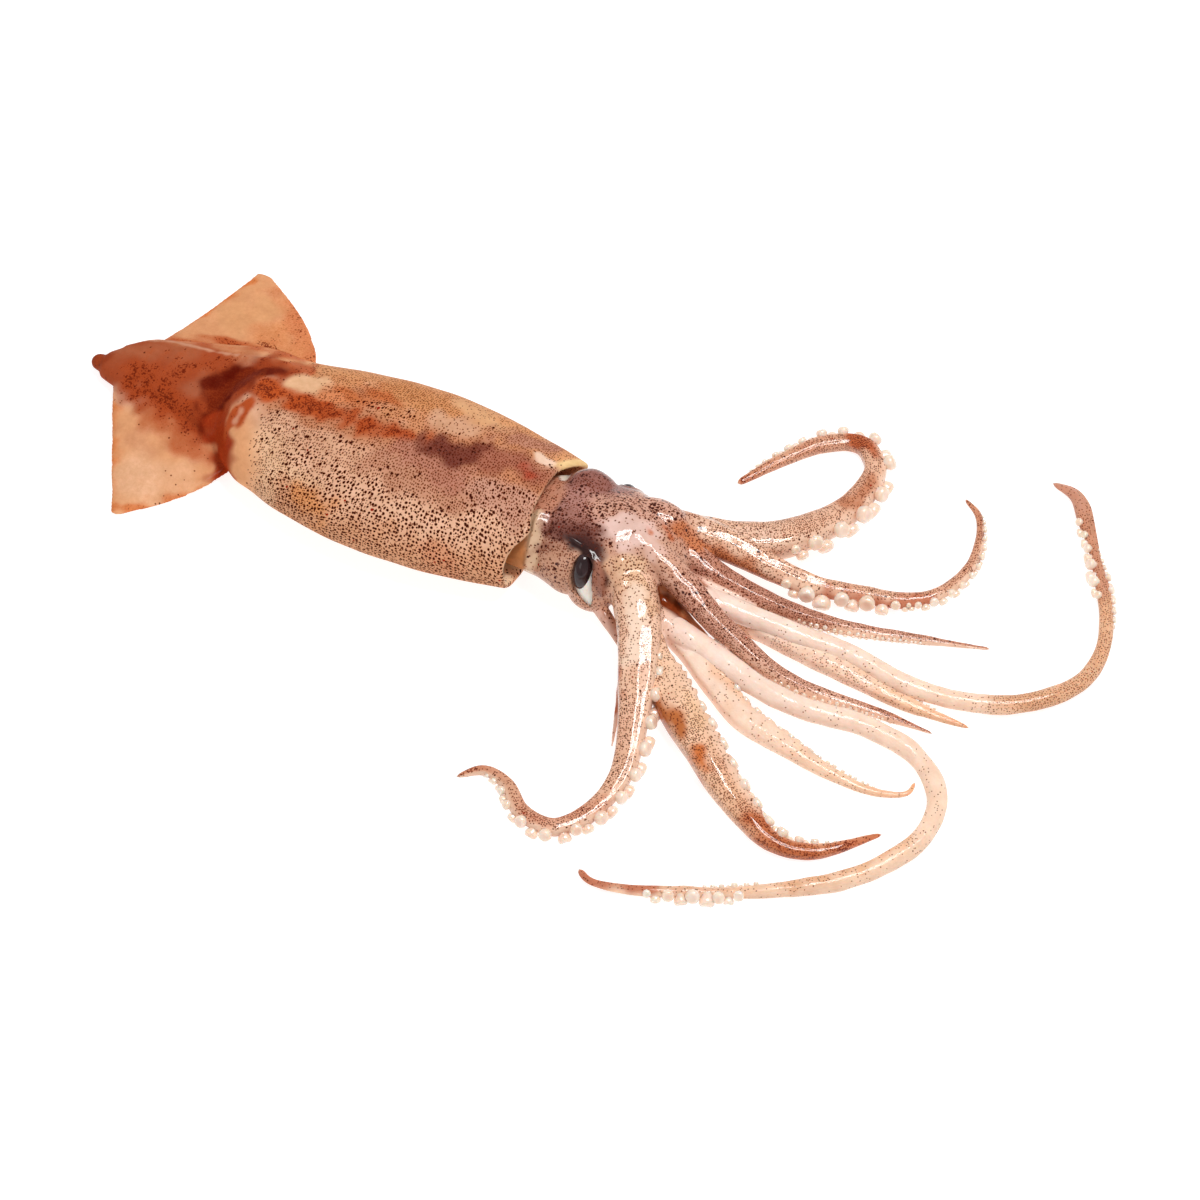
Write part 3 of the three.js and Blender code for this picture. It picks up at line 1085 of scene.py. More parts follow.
@dataclass
class Mantle:
    """The slack sack of the body with its open rim, the tail and its two fins, all one skin.

    Attributes:
        body: its sections.
        fins: the far fin and the near one.
        nub_radius, nub_place: the knob at the tail's end.
        wall: thickness of the rim's lower side; its upper side is thinner.
        rim_round: how far back from the rim its edge is rounded.
        cavity: how far the open space round the neck reaches in.
        rim_line: how far the rim stands forwards, at degrees up from +y round it.
        tail_lean: how far the tail's crest leans towards the far side.
        voxel: size of the faces.
        sides, rings: faces round and along the sack before it is fused.
        folds: the raised and sunken lines in its skin.
    """

    body: Body = Body((
        (3, 5.4, 9.4, 3.2), (8, 8.4, 11.8, 4.2), (13, 10.8, 13.4, 5), (20, 13.2, 14.9, 6),
        (45, 19, 18.4, 6.8), (62, 23, 21.6, 6), (78, 29.5, 26.5, 3.5), (92, 33.8, 29.5, 1),
        (112, 38.5, 32, -0.5), (150, 43, 34.5, -0.5), (185, 39.5, 34, -0.5), (212, 33.5, 33, -1),
    ))
    fins: tuple[Fin, ...] = (
        Fin(1, 74, 13, 0.31, 6.5, 88, 2.3),
        Fin(-1, 67, 7, 0.54, 3.4, 80, 1.8),
    )
    nub_radius: float = 3.7
    nub_place: Place = (1.6, 3, 5.2)
    wall: float = 3.2
    rim_round: float = 1.4
    cavity: float = 26
    rim_line: tuple[tuple[float, float], ...] = (
        (-90, -1), (-30, 1), (0, 4.5), (20, 6.3), (38, 4), (57, 0.3), (75, -0.4), (100, -0.2), (110, 1),
        (118, 2.6), (128, 1), (137, -1.2), (150, -2.2), (163, -2), (176, -1), (200, -0.5), (270, -1),
    )
    tail_lean: float = 9
    voxel: float = 0.85
    sides: int = 120
    rings: int = 150
    folds: tuple[Fold, ...] = (
        Fold(((10, 12, 12), (20, 18, 15), (32, 18, 18), (45, 18, 20), (56, 19, 22), (72, 20, 24), (84, 22, 25)),
             1.3, 1.7),
        Fold(((70, 14), (64, 6), (62, -4), (65, -14), (69, -20)), -1.5, 5),
        Fold(((84, 12), (78, 4), (76, -6), (79, -16), (86, -27)), 0.9, 6),
        Fold(((78, -4, 27), (83, -9, 26), (82, -16, 24), (76, -19, 21), (71.5, -15, 22), (73, -8, 24)),
             0.6, 2.0),
    )

    def lean(self, points: Array) -> Array:
        """Leans the tail's crest towards the far side.

        Args:
            points: the sack's places, one a row.

        Returns:
            The leaning places.
        """
        share = ease(6, 24, points[:, 0]) * ease(88, 60, points[:, 0])
        height = np.clip(points[:, 2] / 20, 0, 1.3)
        moved = points.copy()
        moved[:, 1] += self.tail_lean * share * height**2
        return moved

    def sack(self) -> Object:
        """The body's sack, closed at the tail and open round the neck.

        Returns:
            The sack.
        """
        obj, turn, share = ball("mantle", self.sides, self.rings)
        tail, rim = self.body.ends
        bend, bottom = rim - self.rim_round, rim - self.cavity
        # share of the way over the sack's skin, x, share of the wall's thickness, and share of the radius
        profile = (
            (0, tail, 0, 0), (0.01, tail, 0, 1), (0.86, bend, 0, 1),  # the outside
            (0.875, rim - 0.4, 0.1, 1), (0.885, rim, 0.5, 1), (0.895, rim - 0.4, 0.9, 1),  # the edge
            (0.91, bend, 1, 1), (0.99, bottom, 1, 1), (1, bottom, 1, 0),  # the open space
        )
        stops, *columns = zip(*profile)
        x, inset, full = (np.interp(share, stops, column) for column in columns)
        thick = self.wall * (0.62 + 0.38 * ease(0.2, -0.6, np.cos(turn)))
        points = self.body.at(x, -turn, inset * thick, full)
        points[:, 0] += self.rim_shift(-turn) * ease(rim - 30, rim, x) * full
        set_points(obj, self.lean(points))
        return obj

    def rim_shift(self, turn: Array) -> Array:
        """How far the rim stands forwards of its mean, at turns in radians round the body."""
        stops, shifts = zip(*self.rim_line)
        return through(stops, shifts, (np.degrees(turn) + 90) % 360 - 90)

    def nub(self) -> Object:
        """The small knob at the tail's end.

        Returns:
            The knob.
        """
        obj, *spread = ball("nub", 24, 16)
        radii = self.nub_radius * np.array([1.15, 1, 1])
        set_points(obj, on_ball(*spread) * radii + np.array(self.nub_place))
        return obj

    def build(self) -> Object:
        """Models the mantle as one mesh.

        Returns:
            The mantle.
        """
        parts = [self.sack(), self.nub(), *(fin.model() for fin in self.fins)]
        body = fuse(parts, self.voxel, 6)
        crease(body, self.folds, (0.35, 34, 1), (0.12, 9, 2))
        smooth_over(body, 1)
        return body

    def colour(self, body: Object) -> None:
        """Stains the mantle's skin.

        Args:
            body: the mantle's mesh.
        """
        points = points_of(body)
        x, y = points[:, 0], points[:, 1]
        turn = self.body.turn(points)
        half, height, middle = self.body.section(x)
        fins = ease(0.6, 1.0, np.abs(y - self.fins[0].midline) / 26) * ease(98, 84, x)
        beside = (np.abs(y - middle) > 0.86 * half) & (x < 84)
        wrap(body, x, turn, (half + height / 2) / 2, (fins > 0.4) | beside)
        skin = Pigments(points, linear((232, 187, 158)), {FINE: 0.5, BOLD: 0.97, WET: 0.3})
        skin.lay(MANTLE_MARKS)
        # the belly, though not the fins' undersides
        below = ease(-0.25, -0.8, normals_of(body)[:, 2] + 0.45 * ease(98, 88, x))
        pale = {RUST: 0.04, PLUM: 0, FINE: 0.2, BOLD: 0.5}
        skin.blend(below, linear((230, 188, 160)), pale)
        # the inner wall, painted near-white as painted light that lifts the shade inside the opening; the rim's
        # edge and the pale tab on its far side
        rim = self.body.ends[1]
        bare = {stain: 0.0 for stain in Stain} | {WET: 0.8}
        skin.blend(ease(rim - 40, rim - 26, x) * self.inner(points), linear((255, 232, 200)), bare)
        front = x - rim - self.rim_shift(turn)
        skin.blend(ease(-0.8, 0.1, front), linear((238, 200, 160)), bare)
        degrees = np.degrees(turn)
        tab = ease(-5, -2.5, front) * ease(8, 20, degrees) * ease(62, 50, degrees)
        skin.blend(tab, linear((240, 206, 150)), bare)
        # the fins are wetter, and the tail has hardly any dots
        skin.blend(fins, None, {WET: 0.45})
        tail = ease(95, 85, x)
        skin.stains[BOLD] *= 1 - tail
        skin.stains[FINE] *= 1 - 0.8 * tail
        skin.store(body)

    def inner(self, points: Array) -> Array:
        """Tells the sack's inner wall from its outer one.

        Args:
            points: places on the sack, one a row.

        Returns:
            1 for each place on the inner wall, 0 on the outer one.
        """
        half, height, middle = self.body.section(points[:, 0])
        widest = height * self.body.belly
        rise = points[:, 2] - widest
        reach = np.where(rise > 0, height - widest, widest)
        far = np.hypot((points[:, 1] - middle) / half, rise / reach)
        return ease(0.97, 0.91, far)


# ---- limbs ----


@dataclass(frozen=True)
class Suckers:
    """Two alternating rows of suckers along one side of a limb.

    Attributes:
        side: 1 on the left of the limb's way, -1 on the right.
        start, end: where they stand, as shares of the limb's length.
        share: a sucker's radius over the limb's radius.
        most: the largest radius.
        tilts: degrees above the limb's side of the two rows.
    """

    side: int
    start: float
    end: float
    share: float
    most: float = 2.8
    tilts: tuple[float, float] = (20, -22)

    @property
    def oral(self) -> float:
        """The turn round the limb that the suckers face, in radians."""
        return math.pi if self.side > 0 else 0.0


@dataclass(frozen=True)
class Keel:
    """A thin edge that stands out along a limb.

    Attributes:
        turn: degrees round the limb, from its right side upwards.
        start, end: where it runs, as shares of the limb's length.
        reach: how far it stands out in mm.
        width: its width in degrees.
        frill: how deeply it is scalloped, as a share of its reach.
    """

    turn: float
    start: float
    end: float
    reach: float
    width: float = 12
    frill: float = 0.0

    def lift(self, turn: Array, share: Array, whole: float) -> Array:
        """How far the edge stands out.

        Args:
            turn: turns round the limb in radians.
            share: shares of its length.
            whole: its length in mm.

        Returns:
            The height of the edge over the skin, in mm.
        """
        away = turned_from(turn, math.radians(self.turn)) / math.radians(self.width)
        there = ease(self.start, self.start + 0.08, share) * ease(self.end, self.end - 0.1, share)
        mm = share * whole
        scallop = 5.2  # the length of one, which drifts along the limb
        ripple = 1 + self.frill * np.sin(mm * math.tau / scallop + 1.4 * np.sin(mm / 4.3))
        return self.reach * there * ripple * np.exp(-(away**2))


@dataclass(frozen=True)
class Hue:
    """How the skin looks at one place along a limb: its colour, and how much of each stain it has."""

    tint: Shade
    fine: float
    rust: float
    bold: float = 0.0


class Look(Enum):
    """How a limb is coloured, at even steps to its tip."""

    TAN = (
        Hue((246, 208, 182), 0.85, 0.05, 0.2),
        Hue((242, 200, 172), 0.85, 0.08, 0.2),
        Hue((238, 194, 166), 0.85, 0.10, 0.15),
        Hue((230, 182, 154), 0.8, 0.15, 0.1),
        Hue((212, 156, 124), 0.60, 0.30),
    )
    PURPLE = (
        Hue((228, 186, 166), 1.0, 0.06, 0.45),
        Hue((212, 162, 142), 1.0, 0.08, 0.45),
        Hue((218, 170, 148), 1.0, 0.12, 0.4),
        Hue((226, 180, 158), 0.95, 0.12, 0.35),
        Hue((196, 138, 110), 0.70, 0.28),
    )
    CREAM = (
        Hue((250, 214, 188), 0.7, 0.04, 0.06),
        Hue((248, 210, 180), 0.7, 0.06, 0.06),
        Hue((246, 204, 172), 0.7, 0.10, 0.06),
        Hue((230, 174, 136), 0.7, 0.25, 0.05),
        Hue((202, 122, 84), 0.4, 0.40),
    )
    PALE = (
        Hue((250, 218, 200), 0.05, 0.01),
        Hue((255, 230, 214), 0.05, 0.01),
        Hue((254, 226, 206), 0.08, 0.02),
        Hue((250, 216, 188), 0.16, 0.06),
        Hue((236, 190, 152), 0.20, 0.14),
    )
    TENTACLE = (
        Hue((252, 222, 208), 0.03, 0.01),
        Hue((255, 230, 216), 0.04, 0.01),
        Hue((255, 226, 206), 0.06, 0.02),
        Hue((250, 218, 192), 0.14, 0.05),
        Hue((240, 202, 172), 0.35, 0.08),
        Hue((218, 168, 140), 0.40, 0.16),
    )

    def along(self, share: Array) -> tuple[Array, dict[Stain, Array]]:
        """How the skin looks along a limb.

        Args:
            share: shares of the limb's length.

        Returns:
            The colours, one a row, and the amounts of the stains.
        """
        stops = np.linspace(0, 1, len(self.value))
        rows = [(*linear(hue.tint), hue.fine, hue.rust, hue.bold) for hue in self.value]
        *tint, fine, rust, bold = (np.interp(share, stops, column) for column in zip(*rows))
        return np.stack(tint, 1), {FINE: fine, RUST: rust, BOLD: bold}


@dataclass(frozen=True)
class Limb:
    """An arm or tentacle.

    Attributes:
        name: the piece's name.
        path: its way over the table from the head to the tip.
        girth: its radius at even steps along it.
        lift: how high its root rides over its resting height.
        suckers: its rows of suckers.
        look: how it is coloured.
        marks: further colours on it.
        keels: the thin edges along it.
        fall: how steeply it comes down at first; 1 is an even slope.
        flatness: its height over its width.
        settled: the share of its length at which it rests on the table.
        buried: how far it sinks into its own resting height, as a share of that.
        sides, step: faces round it, and a face's length in mm.
    """

    name: str
    path: tuple[tuple[float, float], ...]
    girth: tuple[float, ...]
    lift: float
    suckers: tuple[Suckers, ...]
    look: Look
    marks: tuple[Mark, ...] = ()
    keels: tuple[Keel, ...] = ()
    fall: float = 1.6
    flatness: float = 0.88
    settled: float = 0.62
    buried: float = 0.12
    sides: int = 40
    step: float = 1.3

    def route(self) -> tuple[Array, Array]:
        """The limb's way over the table.

        Returns:
            Closely spaced places, and each one's distance from the start in mm.
        """
        points = np.asarray(self.path, float)
        points = np.vstack([2 * points[0] - points[1], points, 2 * points[-1] - points[-2]])
        places_in_span = 24
        t = np.linspace(0, 1, places_in_span, endpoint=False)[:, None]
        rows = []
        # a centripetal curve, which runs through its corners without loops
        for a, b, c, d in zip(points[:-3], points[1:-2], points[2:-1], points[3:]):
            before, span, after = (math.sqrt(np.linalg.norm(w)) for w in (b - a, c - b, d - c))
            leaving = ((b - a) / before - (c - a) / (before + span) + (c - b) / span) * span
            arriving = ((c - b) / span - (d - b) / (span + after) + (d - c) / after) * span
            rows.append(hermite(t, b, leaving, c, arriving))
        line = np.vstack([*rows, points[-2:-1]])
        return line, np.concatenate([[0], np.cumsum(np.linalg.norm(np.diff(line, axis=0), axis=1))])

    def length(self) -> float:
        """The limb's length along its middle."""
        return float(self.route()[1][-1])

    def centre(self, share: Array) -> Array:
        """Places on the limb's middle line.

        Args:
            share: shares of the limb's length.

        Returns:
            The places, one a row.
        """
        line, gone = self.route()
        at = np.clip(share, 0, 1) * gone[-1]
        down = np.clip(1 - share / self.settled, 0, None)
        z = evenly(self.girth, share) * self.flatness * (1 - self.buried) + self.lift * down**self.fall
        return np.stack([np.interp(at, gone, line[:, 0]), np.interp(at, gone, line[:, 1]), z], 1)

    def frames(self, share: Array) -> tuple[Array, Array, Array, Array]:
        """How the limb lies along its length.

        Args:
            share: shares of the limb's length.

        Returns:
            The middle there, the way ahead, the way to its right and the way up, each one a row.
        """
        reach = 0.006
        ahead = self.centre(np.minimum(share + reach, 1)) - self.centre(np.maximum(share - reach, 0))
        way = ahead / np.linalg.norm(ahead, axis=1)[:, None]
        right = np.cross(way, [0, 0, 1.0])
        right /= np.linalg.norm(right, axis=1)[:, None]
        return self.centre(share), way, right, np.cross(right, way)

    def swell(self, turn: Array, share: Array) -> Array:
        """The section's outline: flat where the suckers are, with low ridges beside.

        Args:
            turn: turns round the limb in radians.
            share: shares of its length.

        Returns:
            The outline over the radius.
        """
        outline = np.ones_like(turn)
        if len(self.suckers) == 1:
            away = np.abs(turned_from(turn, self.suckers[0].oral))
            ridges = ((-0.10, 0, 0.55), (0.09, 0.85, 0.22), (0.10, 2.5, 0.30))  # height, turn, width
            bumps = sum(height * np.exp(-(((away - at) / width) ** 2)) for height, at, width in ridges)
            outline += ease(0.02, 0.25, share) * bumps
        return outline

    def tube(self, name: str, end: float, factor: Callable[[Array], Array]) -> tuple[Object, Array, Array]:
        """A closed tube along the limb.

        Args:
            name: the object's name.
            end: where it ends, in mm from the limb's start; the limb's tip if that comes first.
            factor: its radius over the limb's own, at distances from the start.

        Returns:
            The object, and each vertex's turn round the limb and share of its length.
        """
        whole = self.length()
        end = min(end, whole)
        obj, turn, share = ball(name, self.sides, max(12, round(end / self.step)))
        share = share * end / whole
        middle, _, right, up = self.frames(share)
        radius = evenly(self.girth, share) * factor(share * whole) * self.swell(turn, share)
        radius += sum(keel.lift(turn, share, whole) for keel in self.keels)
        rounding = 3.0  # length of the tube's rounded ends
        cap = np.minimum(share * whole, end - share * whole) / rounding
        radius *= np.sqrt(np.clip(1 - (1 - np.clip(cap, 0, 1)) ** 2, 0, 1))
        points = middle + right * (radius * np.cos(turn))[:, None]
        points += up * (radius * np.sin(turn) * self.flatness)[:, None]
        # the underside flattens towards the table without reaching it
        press = 0.6
        z = points[:, 2]
        points[:, 2] = np.where(z < press, press * np.exp((z - press) / press), z)
        set_points(obj, points)
        return obj, turn, share

    def build(self) -> Object:
        """Models and colours the limb's free length.

        Returns:
            The limb.
        """
        obj, turn, share = self.tube(self.name, math.inf, lambda mm: 0.95 + 0.05 * ease(18, 46, mm))
        crease(obj, (), (0.22, 11, len(self.name)), (0.05, 4, 7))
        self.colour(obj, turn, share)
        wrap(obj, share * self.length(), turn, evenly(self.girth, share))
        return obj

    def colour(self, obj: Object, turn: Array, share: Array) -> None:
        """Stains the limb's skin.

        Args:
            obj: the limb's mesh.
            turn: each vertex's turn round the limb.
            share: each vertex's share of the length.
        """
        tint, stains = self.look.along(share)
        skin = Pigments(points_of(obj), tint, {WET: 1.0})
        unevenness = ((FINE, 0.3, 16, 5), (RUST, 0.9, 9, 11), (BOLD, 0.5, 12, 8))
        for stain, swing, size, seed in unevenness:
            skin.stains[stain] = stains[stain] * (1 + swing * drift(skin.points, size, seed))
        for row in self.suckers:
            away = np.abs(turned_from(turn, row.oral))
            weight = ease(1.35, 0.7, away) * ease(row.start - 0.25, row.start + 0.05, share)
            skin.blend(weight * 0.85, linear((246, 212, 188)), {FINE: 0.05, RUST: 0.02, BOLD: 0})
        under = ease(0.0, -0.8, np.sin(turn))
        skin.blend(under * 0.8, linear((242, 206, 182)), {FINE: 0.06, RUST: 0.02, BOLD: 0})
        skin.lay(self.marks)
        skin.store(obj)


@dataclass
class SuckerRows:
    """The suckers of one limb, all copies of one cup.

    Attributes:
        limb: the limb that carries them.
        pitch: distance between neighbours in a row over a sucker's radius.
        least: radius of the smallest sucker in mm.
        sunk: where a sucker's foot stands, as a share of the limb's radius.
        profile: a cup's radius and height from its foot over its lip into its hollow.
        sides: faces round a cup.
    """

    limb: Limb
    pitch: float = 3.5
    least: float = 0.55
    sunk: float = 0.84
    profile: tuple[tuple[float, float], ...] = (
        (0.60, -0.5), (0.72, 0.05), (0.98, 0.45), (1.0, 0.90), (0.80, 1.22), (0.54, 1.28), (0.36, 1.04),
    )
    sides: int = 10

    def cup(self) -> Object:
        """One sucker of radius 1 mm on the table's middle: a stem, a bulging cup and its hollow.

        Returns:
            The sucker.
        """
        let_go()
        radius, height = self.profile[0]
        foot = (0, 0, height * MM)
        bpy.ops.mesh.primitive_circle_add(vertices=self.sides, radius=radius * MM, location=foot)
        obj = bpy.context.object
        bpy.ops.object.mode_set(mode="EDIT")
        bpy.ops.mesh.select_all(action="SELECT")
        for wide, high in self.profile[1:]:
            bpy.ops.mesh.extrude_region_move(TRANSFORM_OT_translate={"value": (0, 0, (high - height) * MM)})
            bpy.ops.transform.resize(value=(wide / radius, wide / radius, 1), center_override=(0, 0, 0))
            radius, height = wide, high
        bpy.ops.mesh.merge(type="CENTER")
        edit_all(obj, bpy.ops.mesh.normals_make_consistent, inside=False)
        bpy.ops.object.transform_apply(location=True, rotation=True, scale=True)
        return obj

    def stand(self, cup: Object, foot: Array, out: Array, radius: float) -> Object:
        """Stands a copy of the cup on the limb.

        Args:
            cup: the cup of radius 1 mm.
            foot: where it stands, in mm from the tail tip.
            out: the way that it faces.
            radius: its radius in mm.

        Returns:
            The copy.
        """
        turn = Vector(out).to_track_quat("Z", "Y").to_matrix().to_4x4()
        place = Matrix.Translation(Vector((foot + TAIL_TIP) * MM))
        copy = cup.copy()
        copy.data = cup.data.copy()
        copy.data.transform(place @ turn @ Matrix.Scale(radius, 4))
        bpy.context.collection.objects.link(copy)
        return copy

    def build(self) -> Object:
        """Stands all the limb's suckers in their rows and joins them.

        Returns:
            All of them, as one object.
        """
        cup = self.cup()
        copies = []
        whole = self.limb.length()
        rng = np.random.default_rng(len(self.limb.name))
        for row in self.limb.suckers:
            share = row.start
            number = 0
            while share < row.end:
                at = np.array([share])
                middle, way, right, up = (rows[0] for rows in self.limb.frames(at))
                girth = float(evenly(self.limb.girth, at)[0])
                # a row starts and ends with smaller ones
                fade = min(1.0, 0.55 + (share - row.start) * 9, 0.45 + (row.end - share) * 9)
                radius = min(girth * row.share, row.most) * fade * rng.uniform(0.88, 1.1)
                tilt = math.radians(row.tilts[number % 2] + rng.uniform(-6, 6))
                out = -row.side * right * math.cos(tilt) + up * math.sin(tilt)
                out = out + way * rng.uniform(-0.12, 0.12)
                foot = middle + out * girth * self.sunk
                foot[2] = max(foot[2], radius * 0.55)
                if radius > self.least:
                    copies.append(self.stand(cup, foot, out, radius))
                share += self.pitch * max(radius, self.least) / 2 / whole
                number += 1
        bpy.data.objects.remove(cup)
        hold(*copies)
        bpy.ops.object.join()
        obj = bpy.context.object
        obj.name = obj.data.name = f"suckers_{self.limb.name}"
        points = points_of(obj)
        points[:, 2] = np.maximum(points[:, 2], 0.02)
        set_points(obj, points)
        return obj


